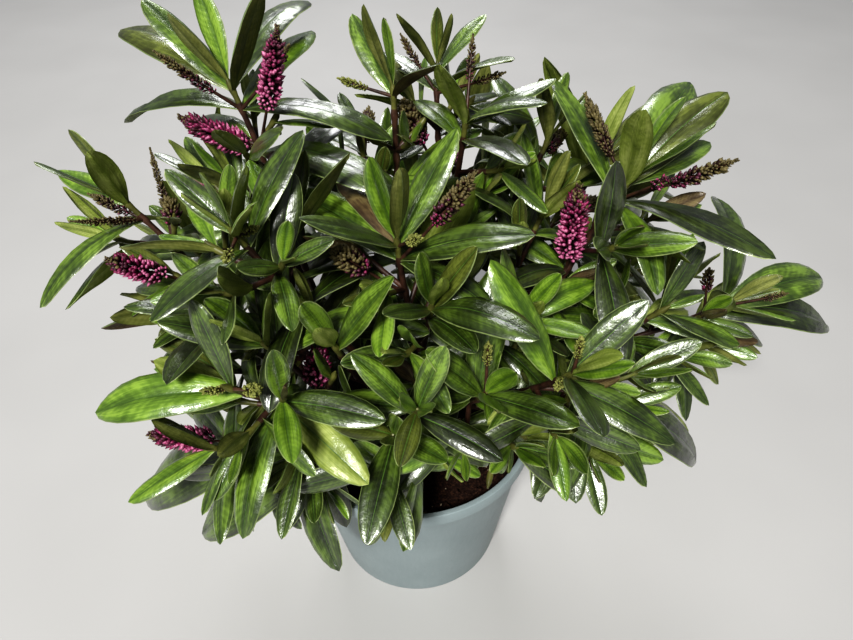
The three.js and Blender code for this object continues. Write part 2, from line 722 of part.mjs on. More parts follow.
// Limbs first: a bough for each mass, then the side shoots, each clear of the rest.
const grown = [];
const masses = Object.entries(MASSES).map(([name, shoots], index) => ({ name, shoots: [...shoots], index }));
for (const mass of masses) {
  const tip = new THREE.Vector3(...mass.shoots[0].tip);
  mass.limb = growLimb(tip, grown);
  if (!mass.limb) throw new Error(`no room for bough ${mass.name}`);
  grown.push(mass.limb);
  mass.boughEnd = Math.max(BOUGH_MIN, mass.limb.length * BOUGH_SHARE);
  mass.limb.bareTo = mass.boughEnd + LEAFLESS;
  mass.limbs = [mass.limb];
}
for (const mass of masses) {
  for (const shoot of mass.shoots.slice(1)) {
    const fork = growFork(mass.limb, mass.boughEnd + FORK_START, new THREE.Vector3(...shoot.tip), grown);
    if (!fork) throw new Error(`no room for a side shoot of ${mass.name}`);
    fork.bareTo = FORK_LEAFLESS;
    grown.push(fork);
    mass.limbs.push(fork);
  }
}

// Side twigs fill the room between the shoots.
for (const mass of masses) {
  const random = stream(TWIG_SEEDS.first + TWIG_SEEDS.step * mass.index);
  const twig = growTwig(mass.limb, grown, random);
  if (!twig) continue;
  grown.push(twig);
  mass.limbs.push(twig);
  const turn = 360 * random();
  const leaf = TWIG_LEAF + TWIG_LEAF_LONGER * random();
  mass.shoots.push({ turn, leaf, pairs: TWIG_PAIRS });
}

// Everything that takes up space: the box speeds up the search for touching solids.
const taken = [];
function take(solid, limb, blade) {
  const item = { solid, box: solid.boundingBox(), limb, blade };
  taken.push(item);
  return item;
}
take(potSolid);
take(soilSolid);
take(stemSolid);
const gapFoot = GAP_FOOT.map(([x, y]) => new THREE.Vector3(x, y, SOIL_TOP));
const gapRise = LIGHT.clone().sub(gapFoot[0]).normalize().multiplyScalar(GAP_REACH);
take(solidOf(loft([gapFoot, gapFoot.map((p) => p.clone().add(gapRise))])));

for (const mass of masses) {
  const bough = solidOf(tube(mass.limb, 0, mass.boughEnd, BOUGH_STEPS, BOUGH_SIDES)).subtract(stemRoom);
  mass.bough = take(fuse([bough])).solid;
  mass.solids = [];
  mass.limbs.forEach((limb, i) => {
    const start = i === 0 ? mass.boughEnd + CLEAR : 0;
    const steps = Math.round((limb.length - start) / TUBE_STEP);
    mass.solids.push(take(solidOf(tube(limb, start, limb.length, steps, TWIG_SIDES)), limb).solid);
  });
}
for (const mass of masses) {
  mass.shoots.forEach((shoot, i) => {
    for (const spike of shoot.spikes ?? []) {
      const { solids, lit } = spikeSolids(mass.limbs[i], spike);
      for (const solid of solids) mass.solids.push(take(solid, mass.limbs[i], true).solid);
      take(lit, mass.limbs[i], true);
    }
  });
}

// Leaves are set from the shoots' tips inward, so that the outer ones find room first.
const plans = [];
for (const mass of masses) {
  const random = stream(LEAF_SEEDS.first + LEAF_SEEDS.step * mass.index);
  mass.shoots.forEach((shoot, i) => {
    for (const plan of leafPlan(shoot, mass.limbs[i], random)) plans.push({ ...plan, mass });
  });
}
plans.sort((a, b) => a.index - b.index);
for (const plan of plans) {
  const leaf = fitLeaf(plan, taken);
  if (leaf) plan.mass.solids.push(take(leaf, plan.limb, true).solid);
}

const bark = { color: "#5a4436", roughness: 0.8, metalness: 0 };
const foliage = { color: "#3c6427", roughness: 0.45, metalness: 0 };
for (const { name, bough, solids } of masses) {
  addNode(`bough_${name}`, geometryOf(bough), bark);
  addNode(`foliage_${name}`, geometryOf(fuse(solids)), foliage);
}

export default hebe;
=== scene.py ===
# Potted hebe shrub: a nursery pot of peat, a short woody stem, boughs, and shoots with
# leaves in crossed pairs and spikes of flower buds. Sizes are in millimetres until a mesh is made.

from bisect import bisect_left, bisect_right
from functools import partial
from math import atan2, cos, degrees, exp, pi, radians, sin, sqrt, tau
from types import SimpleNamespace

import bmesh
import bpy
import numpy as np
from mathutils import Matrix, Vector, noise
from mathutils.bvhtree import BVHTree


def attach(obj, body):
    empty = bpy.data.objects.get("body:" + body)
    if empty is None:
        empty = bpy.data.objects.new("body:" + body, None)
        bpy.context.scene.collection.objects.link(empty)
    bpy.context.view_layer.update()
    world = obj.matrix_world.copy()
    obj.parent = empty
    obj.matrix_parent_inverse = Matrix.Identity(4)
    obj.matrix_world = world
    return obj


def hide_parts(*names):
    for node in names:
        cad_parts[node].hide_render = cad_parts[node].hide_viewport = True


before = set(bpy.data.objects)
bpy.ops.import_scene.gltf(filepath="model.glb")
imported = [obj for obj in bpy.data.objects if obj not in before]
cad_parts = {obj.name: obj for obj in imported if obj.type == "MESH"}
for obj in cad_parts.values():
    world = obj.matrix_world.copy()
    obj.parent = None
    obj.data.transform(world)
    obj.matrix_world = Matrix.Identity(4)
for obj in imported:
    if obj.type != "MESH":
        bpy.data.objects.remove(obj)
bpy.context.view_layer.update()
scene = bpy.context.scene
MM = 0.001

# ---- camera ----
# The viewer stands in front of the pot and looks down on the crown, with the camera
# tipped a little to one side.

CAMERA_PLACE = (9.5, -283.4, 436.4)
CAMERA_DOWN = radians(41.27)
CAMERA_ROLL = radians(-1.447)
FRAME_WIDTH = 853
FOCAL_PIXELS = 700
SENSOR_WIDTH = 36

camera = bpy.data.objects.new("camera", bpy.data.cameras.new("camera"))
camera.data.sensor_width = SENSOR_WIDTH
camera.data.lens = SENSOR_WIDTH * FOCAL_PIXELS / FRAME_WIDTH
camera.data.clip_start = 0.01
camera.matrix_world = (
    Matrix.Translation(Vector(CAMERA_PLACE) * MM)
    @ Matrix.Rotation(pi / 2 - CAMERA_DOWN, 4, "X")
    @ Matrix.Rotation(CAMERA_ROLL, 4, "Z")
)
scene.collection.objects.link(camera)
scene.camera = camera

# ---- floor and light ----
# A plain pale floor, lit by one soft lamp high behind the viewer, a dimmer one behind the
# plant and an even, dim surround.

FLOOR_HALF = 3000


def paint(hex_text):
    """Linear colour from an sRGB hex value."""
    shares = [int(hex_text[i:i + 2], 16) / 255 for i in (0, 2, 4)]
    return (*[c / 12.92 if c <= 0.04045 else ((c + 0.055) / 1.055) ** 2.4 for c in shares], 1.0)


def mesh_of(made, name):
    """The finished mesh of a bmesh."""
    mesh = bpy.data.meshes.new(name)
    made.to_mesh(mesh)
    made.free()
    return mesh


def connect(node, sockets):
    """Sets a node's sockets: a value is a constant or the output that feeds the socket."""
    for name, value in sockets.items():
        if isinstance(value, bpy.types.NodeSocket):
            node.id_data.links.new(value, node.inputs[name])
        else:
            node.inputs[name].default_value = value


def add_node(tree, kind, output, sockets=None, stops=(), **settings):
    """Adds a node with its settings, links and (share, hex) colour stops; gives an output."""
    node = tree.nodes.new("ShaderNode" + kind)
    for name, value in settings.items():
        setattr(node, name, value)
    connect(node, sockets or {})
    for _ in stops[2:]:
        node.color_ramp.elements.new(0.5)
    for i, (share, hex_text) in enumerate(stops):
        node.color_ramp.elements[i].position = share
        node.color_ramp.elements[i].color = paint(hex_text)
    return node.outputs[output]


def new_material(name):
    """A material with its shader, its object coordinates and its own way to add a node."""
    material = bpy.data.materials.new(name)
    material.use_nodes = True
    put = partial(add_node, material.node_tree)
    return material, material.node_tree.nodes["Principled BSDF"], put("TexCoord", "Object"), put


def speckle(put, where, size, **looks):
    """Noise with grains of about a size."""
    return put("TexNoise", "Fac", {"Vector": where, "Scale": 1 / (size * MM), **looks})


def two_tone(name, low, high, patch, roughness, detail=2, grain=None, relief=0):
    """A finish that drifts from one tone to another in patches, with or without a fine grain."""
    material, shader, where, put = new_material(name)
    patches = speckle(put, where, patch, Detail=detail)
    connect(shader, {
        "Base Color": put("ValToRGB", "Color", {"Fac": patches}, [low, high]),
        "Roughness": roughness,
    })
    if grain:
        bumps = put("Bump", "Normal", {
            "Height": speckle(put, where, grain), "Distance": relief * MM,
        })
        connect(shader, {"Normal": bumps})
    return material


# Painted board: even, matt, with the faintest mottling.
floor_board = two_tone("painted_board", (0.3, "b4b3b1"), (0.7, "b8b7b5"), 160, 0.55)
made = bmesh.new()
bmesh.ops.create_grid(made, x_segments=2, y_segments=2, size=FLOOR_HALF * MM)
floor_mesh = mesh_of(made, "floor")
floor_mesh.materials.append(floor_board)
floor = bpy.data.objects.new("floor", floor_mesh)
scene.collection.objects.link(floor)


def lamp(name, place, aim, size, watts, hex_text):
    """A square soft lamp at place, turned to aim."""
    light = bpy.data.lights.new(name, "AREA")
    light.size = size * MM
    light.energy = watts
    light.color = paint(hex_text)[:3]
    obj = bpy.data.objects.new(name, light)
    obj.location = Vector(place) * MM
    obj.rotation_euler = (Vector(aim) - Vector(place)).to_track_quat("-Z", "Y").to_euler()
    scene.collection.objects.link(obj)


lamp("key_lamp", (-480, -2050, 2350), (0, 0, 190), 520, 98, "fffefc")
lamp("back_lamp", (-150, 1500, 1500), (0, 0, 180), 800, 15, "fdfdff")
scene.world = bpy.data.worlds.new("surround")
scene.world.use_nodes = True
surround = scene.world.node_tree.nodes["Background"]
surround.inputs["Color"].default_value = paint("e9ecf0")
surround.inputs["Strength"].default_value = 0.2
scene.view_settings.view_transform = "Standard"
scene.view_settings.look = "High Contrast"

# ---- pot ----
# A nursery pot of thin moulded polypropylene: a tapering cup with a thicker rolled
# rim band, which stiffens it and gives the hand a grip.

POT_HEIGHT = 110
POT_RIM_RADIUS = 72.5
POT_BASE_RADIUS = 54
POT_WALL = 1.8
POT_FLOOR = 2.5
RIM_BAND_HEIGHT = 9
RIM_BAND_STEP = 1.6
POT_TURNS = 128


def wall_radius(z):
    return POT_BASE_RADIUS + (POT_RIM_RADIUS - RIM_BAND_STEP - POT_BASE_RADIUS) * z / POT_HEIGHT


def finish_piece(mesh, name, materials, *nodes, slot):
    """Puts a finished mesh in the scene in place of its CAD nodes."""
    for material in materials:
        mesh.materials.append(material)
    obj = bpy.data.objects.new(name, mesh)
    scene.collection.objects.link(obj)
    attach(obj, "root")
    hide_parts(*nodes)
    return obj


def spun(name, profile, turns):
    """A closed shape turned about the Z axis from (radius, height) points."""
    made = bmesh.new()
    line = [made.verts.new((r * MM, 0, z * MM)) for r, z in profile]
    edges = [made.edges.new(pair) for pair in zip(line, line[1:])]
    bmesh.ops.spin(made, geom=line + edges, cent=(0, 0, 0), axis=(0, 0, 1),
                   angle=tau, steps=turns, use_merge=True)
    bmesh.ops.remove_doubles(made, verts=made.verts, dist=0.01 * MM)
    bmesh.ops.recalc_face_normals(made, faces=made.faces)
    mesh = mesh_of(made, name)
    mesh.shade_smooth()
    return mesh


# Moulded polypropylene: satin, a little uneven in tone, with fine scuffs and specks of peat.
pot_plastic, shader, where, put = new_material("moulded_polypropylene")
mottle = speckle(put, where, 35, Detail=5)
tall = put("Mapping", "Vector", {"Vector": where, "Scale": (1, 1, 0.12)})
scuffs = speckle(put, tall, 2.2, Detail=4, Roughness=0.7)
dust = speckle(put, where, 1.2, Detail=5, Roughness=0.7)
dust_share = put("MapRange", "Result", {"Value": dust, "From Min": 0.64, "From Max": 0.72})
body_tone = put("ValToRGB", "Color", {"Fac": mottle}, [(0.3, "8b9799"), (0.7, "9aa6a7")])
scuff_tone = put("ValToRGB", "Color", {"Fac": scuffs}, [(0.62, "8b9799"), (0.78, "b4c0c1")])
scuffed = put("Mix", "Result", {"Factor": 0.25, "A": body_tone, "B": scuff_tone}, data_type="RGBA")
peat_dust = {"Factor": dust_share, "A": scuffed, "B": paint("6b665c")}
connect(shader, {
    "Base Color": put("Mix", "Result", peat_dust, data_type="RGBA"),
    "Roughness": put("MapRange", "Result", {"Value": scuffs, "To Min": 0.36, "To Max": 0.6}),
    "Normal": put("Bump", "Normal", {"Height": scuffs, "Distance": 0.05 * MM, "Strength": 0.4}),
})

pot_mesh = spun("pot_shell", [
    (0, 0),
    (POT_BASE_RADIUS, 0),
    (wall_radius(POT_HEIGHT - RIM_BAND_HEIGHT), POT_HEIGHT - RIM_BAND_HEIGHT),
    (POT_RIM_RADIUS, POT_HEIGHT - RIM_BAND_HEIGHT),
    (POT_RIM_RADIUS, POT_HEIGHT),
    (wall_radius(POT_HEIGHT) - POT_WALL, POT_HEIGHT),
    (wall_radius(POT_FLOOR) - POT_WALL, POT_FLOOR),
    (0, POT_FLOOR),
], POT_TURNS)
pot = finish_piece(pot_mesh, "pot_shell", [pot_plastic], "pot", slot="pot")
rounding = pot.modifiers.new("rounded_edges", "BEVEL")
rounding.width = 0.7 * MM
rounding.segments = 3
rounding.limit_method = "ANGLE"
rounding.angle_limit = radians(30)

# ---- root ball ----
# Dark peat-based potting compost, a little dished, its surface rough with crumbs of
# peat and a few pale grains.

SOIL_TOP = 98
SOIL_DISH = 2
DISH_FROM = 0.6
SOIL_RINGS = 26
SOIL_TURNS = 150
SOIL_LUMP = 9
SOIL_ROUGH = 1.6
SOIL_SUNK = 1.1
CLEAR = 0.3
CRUMBS = 900
CRUMB_SIZE = (0.7, 2.6)
CRUMB_STRETCH = [(0.6, 0.8), (0.5, 0.5), (0.4, 0.3)]
CRUMB_MARGIN = 3
CRUMB_RISE = 0.2
PEAT_SHARE = 0.93


def stream(seed):
    """Park-Miller random numbers from 0 to 1."""
    state = seed

    def draw():
        nonlocal state
        state = state * 16807 % 2147483647
        return state / 2147483647

    return draw


def varied(draw, least, span):
    """A random number from least to least + span, the two that a named pair gives."""
    return least + span * draw()


def closed_shape(points, faces, slots, uvs=None):
    """A small closed shape in millimetres, with a material slot for each face."""
    return SimpleNamespace(points=np.array(points), faces=faces, slots=slots,
                           uvs=np.zeros((len(points), 2)) if uvs is None else np.array(uvs))


def joined(name, shapes, materials, *nodes, slot, crease=60):
    """One mesh of many small closed shapes."""
    faces = []
    start = 0
    for shape in shapes:
        faces.extend([tuple(i + start for i in face) for face in shape.faces])
        start += len(shape.points)
    mesh = bpy.data.meshes.new(name)
    mesh.from_pydata((np.concatenate([shape.points for shape in shapes]) * MM).tolist(), [], faces)
    corners = np.empty(len(mesh.loops), np.int32)
    mesh.loops.foreach_get("vertex_index", corners)
    layer = mesh.uv_layers.new(name="UVMap")
    layer.data.foreach_set("uv", np.concatenate([shape.uvs for shape in shapes])[corners].ravel())
    mesh.polygons.foreach_set("material_index", [s for shape in shapes for s in shape.slots])
    mesh.shade_smooth()
    mesh.set_sharp_from_angle(angle=radians(crease))
    finish_piece(mesh, name, materials, *nodes, slot=slot)


# Peat: matt, nearly black brown, with lighter flecks.
peat, shader, where, put = new_material("damp_peat")
peat_tones = [(0.3, "150d0a"), (0.52, "2c1d17"), (0.72, "5a4030")]
grain = speckle(put, where, 1.6, Detail=6, Roughness=0.7)
connect(shader, {
    "Base Color": put("ValToRGB", "Color", {"Fac": grain}, peat_tones),
    "Roughness": 0.95,
    "Specular IOR Level": 0.2,
    "Normal": put("Bump", "Normal", {"Height": grain, "Distance": 0.8 * MM}),
})
# Grit: small pale mineral grains, matt.
grit = two_tone("mineral_grit", (0.3, "8a7a66"), (0.7, "b9ab95"), 0.8, 0.8)

soil_foot = POT_FLOOR + CLEAR
soil_edge = wall_radius(SOIL_TOP - SOIL_DISH) - POT_WALL - CLEAR
soil_line = [(0, soil_foot), (wall_radius(soil_foot) - POT_WALL - CLEAR, soil_foot)]
for i in range(SOIL_RINGS + 1):
    share = 1 - i / SOIL_RINGS
    dish = SOIL_DISH * max(0, (share - DISH_FROM) / (1 - DISH_FROM))
    soil_line.append((soil_edge * share, SOIL_TOP - dish))
soil_mesh = spun("peat_surface", soil_line, SOIL_TURNS)
for vertex in soil_mesh.vertices:
    height = vertex.co.z / MM
    radius = vertex.co.xy.length / MM
    if height > soil_foot + 1 and radius < soil_edge - 1:
        rough = noise.turbulence(vertex.co / (SOIL_LUMP * MM), 5, True)
        vertex.co.z += (SOIL_ROUGH * rough - SOIL_SUNK) * MM
finish_piece(soil_mesh, "peat_surface", [peat], "soil", slot="soil")

OCTAHEDRON = np.array([(1, 0, 0), (0, 1, 0), (-1, 0, 0), (0, -1, 0), (0, 0, 1), (0, 0, -1)])
OCTAHEDRON_FACES = [
    (0, 1, 4), (1, 2, 4), (2, 3, 4), (3, 0, 4), (1, 0, 5), (2, 1, 5), (3, 2, 5), (0, 3, 5),
]
random = stream(77)
crumbs = []
for i in range(CRUMBS):
    radius = (soil_edge - CRUMB_MARGIN) * sqrt(random())
    angle = tau * random()
    size = CRUMB_SIZE[0] + (CRUMB_SIZE[1] - CRUMB_SIZE[0]) * random() ** 3
    stretch = np.array([varied(random, *axis) for axis in CRUMB_STRETCH])
    turn = np.array(Matrix.Rotation(tau * random(), 3, Vector((random(), random(), 1)).normalized()))
    centre = np.array([radius * cos(angle), radius * sin(angle), SOIL_TOP + CRUMB_RISE])
    skin = int(random() > PEAT_SHARE)
    crumbs.append(closed_shape(
        (OCTAHEDRON * stretch * size) @ turn + centre, OCTAHEDRON_FACES, [skin] * 8))
joined("peat_crumbs", crumbs, [peat, grit], "soil", slot="soil", crease=20)

# ---- main stem ----
# The short woody trunk, cut flat on the compost: brown bark with fine ridges
# along it, flared a little at its foot.

STEM_FOOT = Vector((-3, 4, SOIL_TOP + CLEAR))
STEM_TOP = Vector((1, -2, 152))
STEM_FOOT_RADIUS = 9.5
STEM_RADIUS = 6
STEM_TOP_RADIUS = 4.2
STEM_TURNS = 28
STEM_STEPS = 40
BARK_RELIEF = 0.35
BARK_RIDGES = 9
FLARE_SHARE = 0.2
TAPER_FROM = 0.3

# Woody bark: dull brown and rough, with small pale breathing pores.
bark, shader, where, put = new_material("ridged_bark")
rough = speckle(put, where, 2.4, Detail=6, Roughness=0.65)
pores = put("TexVoronoi", "Distance", {"Vector": where, "Scale": 1 / (3.5 * MM)})
pore_share = put("MapRange", "Result", {
    "Value": pores, "From Min": 0.1, "From Max": 0.22, "To Min": 1.0, "To Max": 0.0,
})
bark_tones = [(0.3, "2b1d17"), (0.52, "4c352a"), (0.75, "7a5d4a")]
bark_tone = put("ValToRGB", "Color", {"Fac": rough}, bark_tones)
pore_tone = {"Factor": pore_share, "A": bark_tone, "B": paint("83705c")}
connect(shader, {
    "Base Color": put("Mix", "Result", pore_tone, data_type="RGBA"),
    "Roughness": 0.75,
    "Normal": put("Bump", "Normal", {"Height": rough, "Distance": 0.35 * MM}),
})

stem_axis = (STEM_TOP - STEM_FOOT).normalized()
made = bmesh.new()
bmesh.ops.create_cone(made, cap_ends=True, segments=STEM_TURNS, radius1=1, radius2=1, depth=1)
upright = [edge for edge in made.edges if abs(edge.verts[0].co.z - edge.verts[1].co.z) > 0.5]
bmesh.ops.subdivide_edges(made, edges=upright, cuts=STEM_STEPS)
for vertex in made.verts:
    share = vertex.co.z + 0.5
    flare = (STEM_FOOT_RADIUS - STEM_RADIUS) * max(0, 1 - share / FLARE_SHARE) ** 2
    thinned = max(0, (share - TAPER_FROM) / (1 - TAPER_FROM))
    taper = STEM_RADIUS + (STEM_TOP_RADIUS - STEM_RADIUS) * thinned
    out = Vector((vertex.co.x, vertex.co.y, 0))
    angle = atan2(out.y, out.x)
    # The ridges wander from side to side as they rise.
    ridge = BARK_RELIEF * sin(BARK_RIDGES * angle + 2.5 * sin(7 * share))
    ridge += BARK_RELIEF * noise.noise(Vector((2 * out.x, 2 * out.y, 9 * share)))
    centre = STEM_FOOT.lerp(STEM_TOP, share)
    vertex.co = (centre + out * (taper + flare + ridge - BARK_RELIEF)) * MM
bmesh.ops.recalc_face_normals(made, faces=made.faces)
stem_mesh = mesh_of(made, "trunk_bark")
stem_mesh.shade_smooth()
stem_mesh.set_sharp_from_angle(angle=radians(60))
finish_piece(stem_mesh, "trunk_bark", [bark], "main_stem", slot="bark")

# ---- boughs ----
# Each bough leaves the trunk, bends up and out and runs on into its own mass of shoots.
# A mass is a list of shoots; the first is the one that its bough runs on into.

BOUGH_RADIUS = 2.5
TWIG_RADIUS = 1.3
BOUGH_SHARE = 0.36
BOUGH_MIN = 46
LIMB_STEPS = 48
LIMB_EASE = 0.36
LIMB_TAPER = 0.7
BOUGH_OUTWARD = 0.9
BOUGH_LEAFLESS = 5
SHOOT_PAIRS = 5
START_HEIGHTS = [110, 115, 120, 125, 130, 135, 140, 145, 150]
START_TURNS = [0, 20, -20, 40, -40, 60, -60, 85, -85]
FORK_SHARES = [0.1, 0.2, 0.3, 0.4, 0.02, 0.5]
FORK_FROM = 4
FORK_RADIUS = 0.85
FORK_BARE = 6
FORK_LEAFLESS = 7
FOCUS_HEIGHT = 80
LIMB_SPACE = 0.9
ROOM_STEP = 2
UP = Vector((0, 0, 1))

# A shoot: its tip, the compass turn of its third pair of leaves (0 right, 90 back), its
# full leaf length, its largest leaves: (pair it grows from, compass turn, degrees off the
# stem, length, tone), and its spikes: (pair it grows from, compass turn, degrees off the
# stem, length, radius, stalk length, ripeness).
MASSES = {
    "left_back": [
        ((-78, 27, 313), 60, 81,
         [(3, 190, 32, 70, "green"), (1, 140, 32, 82, "young"), (1, 60, 48, 82, "green"),
          (2, 0, 104, 88, "green"), (2, 170, 56, 78, "green")],
         [(2, 210, 35, 44, 3, 14, "dark"), (3, 315, 44, 80, 4.5, 32, "magenta"),
          (2, 330, 62, 50, 3.5, 20, "olive"), (3, 180, 53, 38, 6, 4, "magenta")]),
        ((-87, 28, 261), 165, 56, [(3, 50, 56, 64, "mid")], []),
    ],
    "left_tip": [
        ((-129, -6, 273), 225, 67, [(2, 210, 56, 64, "mid")],
         [(3, 60, 35, 50, 2.4, 20, "olive"), (3, 15, 35, 26, 5, 12, "dark"),
          (2, 255, 53, 38, 2.4, 4, "olive"), (2, 180, 26, 26, 3, 6, "dark")]),
        ((-112, -15, 236), 155, 57, [], [(1, 255, 26, 38, 5.5, 9, "magenta")]),
    ],
    "left_front": [
        ((-83, -43, 240), 85, 63, [], []),
        ((-95, -41, 196), 100, 63, [], []),
    ],
    "front_left": [
        ((-72, -92, 237), 175, 59, [(2, 190, 40, 70, "fresh"), (3, 320, 72, 58, "pale")],
         [(1, 210, 26, 14, 2.4, 3, "cream"), (1, 345, 71, 20, 3.5, 10, "cream"),
          (4, 45, 62, 32, 7.5, 13, "rose")]),
        ((-61, -67, 238), 80, 68, [(2, 10, 56, 52, "mid")], []),
    ],
    "front_left_low": [
        ((-101, -67, 167), 115, 68, [(3, 190, 24, 112, "green")], [(3, 130, 16, 59, 7, 28, "magenta")]),
        ((-50, -80, 164), 225, 52, [(1, 210, 72, 82, "green")], []),
    ],
    "centre_left": [
        ((-65, -59, 290), 45, 57, [],
         [(1, 270, 71, 20, 2.4, 10, "cream"), (1, 345, 71, 14, 2.4, 3, "cream")]),
    ],
    "centre": [
        ((-2, -45, 274), 140, 78, [(2, 330, 72, 52, "green"), (1, 110, 72, 76, "bronze")],
         [(3, 195, 35, 44, 6.5, 24, "dark"), (1, 315, 44, 20, 3, 10, "cream"),
          (2, 345, 35, 62, 4.5, 29, "dark")]),
        ((12, -64, 254), 125, 57, [(1, 300, 32, 64, "green")], []),
    ],
    "top_back": [
        ((-3, 24, 310), 215, 70, [(4, 0, 32, 58, "fresh"), (4, 140, 32, 52, "green")],
         [(1, 180, 71, 26, 2.4, 12, "cream")]),
        ((-22, 37, 280), 170, 77, [(4, 220, 40, 64, "fresh")], []),
    ],
    "top_right": [
        ((18, 49, 310), 125, 52, [],
         [(4, 225, 26, 50, 6.5, 24, "dark"), (2, 165, 35, 32, 2.4, 15, "olive"),
          (2, 330, 71, 38, 2.4, 21, "olive")]),
        ((30, 8, 303), 290, 67, [(1, 320, 40, 46, "green")], [(1, 90, 35, 38, 2.5, 18, "dark")]),
    ],
    "right_back": [
        ((103, -11, 280), 135, 79,
         [(3, 220, 72, 64, "deep"), (2, 290, 72, 52, "mid"), (1, 70, 32, 80, "mid"),
          (1, 50, 24, 64, "young"), (4, 210, 64, 48, "deep")],
         [(1, 150, 62, 44, 4, 14, "olive"), (2, 315, 35, 56, 4, 26, "dark"),
          (2, 285, 35, 32, 2.5, 22, "rose"), (4, 205, 28, 52, 7.5, 10, "magenta")]),
        ((108, 65, 246), 210, 82, [(1, 210, 88, 64, "mid"), (1, 250, 88, 40, "deep")], []),
    ],
    "right_tip": [
        ((169, -7, 202), 180, 52,
         [(2, 10, 24, 94, "deep"), (1, 30, 16, 76, "mid"), (1, 110, 48, 88, "green")],
         [(1, 285, 17, 32, 2.4, 20, "olive"), (2, 165, 62, 26, 3.5, 12, "dark")]),
        ((126, -30, 219), 10, 56, [(2, 20, 48, 64, "pale")], []),
    ],
    "right_front": [
        ((100, -66, 190), 315, 52,
         [(3, 190, 56, 64, "pale"), (3, 0, 48, 94, "pale"), (1, 350, 64, 82, "deep")],
         []),
        ((103, -66, 211), 140, 52, [(4, 340, 80, 64, "green")], []),
    ],
    "front_right": [
        ((69, -86, 233), 150, 66, [(3, 230, 56, 40, "mid")],
         [(1, 225, 62, 14, 2.4, 3, "cream"), (0, 120, 35, 20, 2.4, 8, "cream")]),
        ((48, -91, 192), 105, 52, [(1, 320, 64, 40, "deep")], []),
    ],
    "front_middle": [
        ((34, -84, 220), 255, 74, [], [(0, 105, 44, 26, 2.5, 14, "cream")]),
    ],
    "front": [
        ((-6, -92, 204), 255, 52, [], []),
        ((5, -99, 228), 155, 52, [(3, 330, 88, 58, "mid")], []),
        ((-10, -93, 172), 240, 54, [(2, 270, 48, 40, "fresh"), (1, 260, 56, 40, "green")], []),
    ],
    "inner_left": [
        ((-29, -75, 242), 105, 71, [], []),
    ],
    "centre_right": [
        ((53, -50, 233), 65, 59, [(1, 40, 48, 46, "fresh")], []),
        ((67, -3, 259), 205, 59, [], []),
    ],
    "back_right_top": [
        ((75, 41, 276), 315, 58, [], [(2, 60, 75, 36, 5, 10, "dark")]),
    ],
    "back_left": [
        ((-112, 76, 231), 90, 74, [], [(2, 150, 40, 40, 6, 11, "magenta")]),
        ((-124, 47, 206), 255, 73, [], []),
    ],
    "back_middle": [
        ((-27, 106, 248), 110, 72, [], [(2, 80, 35, 36, 5, 10, "dark")]),
        ((-62, 104, 190), 130, 66, [], []),
    ],
    "back_right": [
        ((38, 125, 241), 190, 71, [], [(3, 95, 45, 44, 6.5, 12, "magenta")]),
        ((50, 108, 186), 60, 66, [], []),
    ],
    "right_back_low": [
        ((91, 65, 218), 210, 64, [], [(2, 30, 40, 38, 5.5, 11, "dark")]),
        ((139, 48, 183), 15, 56, [], []),
    ],
}


def square_to(v, axis):
    """The part of v square to the unit vector axis, made unit length."""
    return (v - axis * v.dot(axis)).normalized()


def turned(v, axis, turn):
    return Matrix.Rotation(radians(turn), 3, axis) @ v


def limb_along(start, tip, leaving, arriving, foot_radius, bare, side):
    """A bent line in short straight steps, with its length counted along it."""
    reach = (tip - start).length * LIMB_EASE
    a = start + leaving * reach
    b = tip - arriving * reach
    points = []
    for i in range(LIMB_STEPS + 1):
        t = i / LIMB_STEPS
        u = 1 - t
        points.append(start * u ** 3 + a * (3 * u * u * t) + b * (3 * u * t * t) + tip * t ** 3)
    lengths = [0.0]
    for p, q in zip(points, points[1:]):
        lengths.append(lengths[-1] + (q - p).length)
    return SimpleNamespace(points=points, lengths=lengths, length=lengths[-1],
                           foot_radius=foot_radius, bare=bare, side=side)


def point_at(limb, distance):
    s = min(max(distance, 0), limb.length)
    i = min(max(bisect_left(limb.lengths, s), 1), LIMB_STEPS)
    share = (s - limb.lengths[i - 1]) / (limb.lengths[i] - limb.lengths[i - 1])
    return limb.points[i - 1].lerp(limb.points[i], share)


def direction_at(limb, distance):
    s = min(max(distance, 1), limb.length - 1)
    return (point_at(limb, s + 1) - point_at(limb, s - 1)).normalized()


def radius_at(limb, distance):
    """The radius tapers from the bough's foot to the shoot's tip."""
    share = min(1, max(0, distance / limb.length))
    return limb.foot_radius + (TWIG_RADIUS - limb.foot_radius) * share ** LIMB_TAPER


grown = []


def keep(limb):
    """Notes the room that a grown limb takes up past its bare stretch."""
    rows = [
        (*point, radius_at(limb, length))
        for point, length in zip(limb.points, limb.lengths) if length >= limb.bare
    ]
    limb.room = np.array(rows)
    grown.append(limb)
    return limb


def clear_of(limb, skip=None):
    """Whether a limb keeps its space from the limbs already grown."""
    if not grown:
        return True
    steps = np.arange(limb.bare, limb.length + 0.001, ROOM_STEP)
    own = np.array([(*point_at(limb, s), radius_at(limb, s)) for s in steps])
    others = np.concatenate([other.room for other in grown if other is not skip])
    apart = np.linalg.norm(own[:, None, :3] - others[None, :, :3], axis=2)
    return bool((apart >= own[:, None, 3] + others[None, :, 3] + LIMB_SPACE).all())


def tip_direction(tip):
    """A shoot ends pointing straight away from a place inside the pot."""
    return Vector((tip.x, tip.y, tip.z - FOCUS_HEIGHT)).normalized()


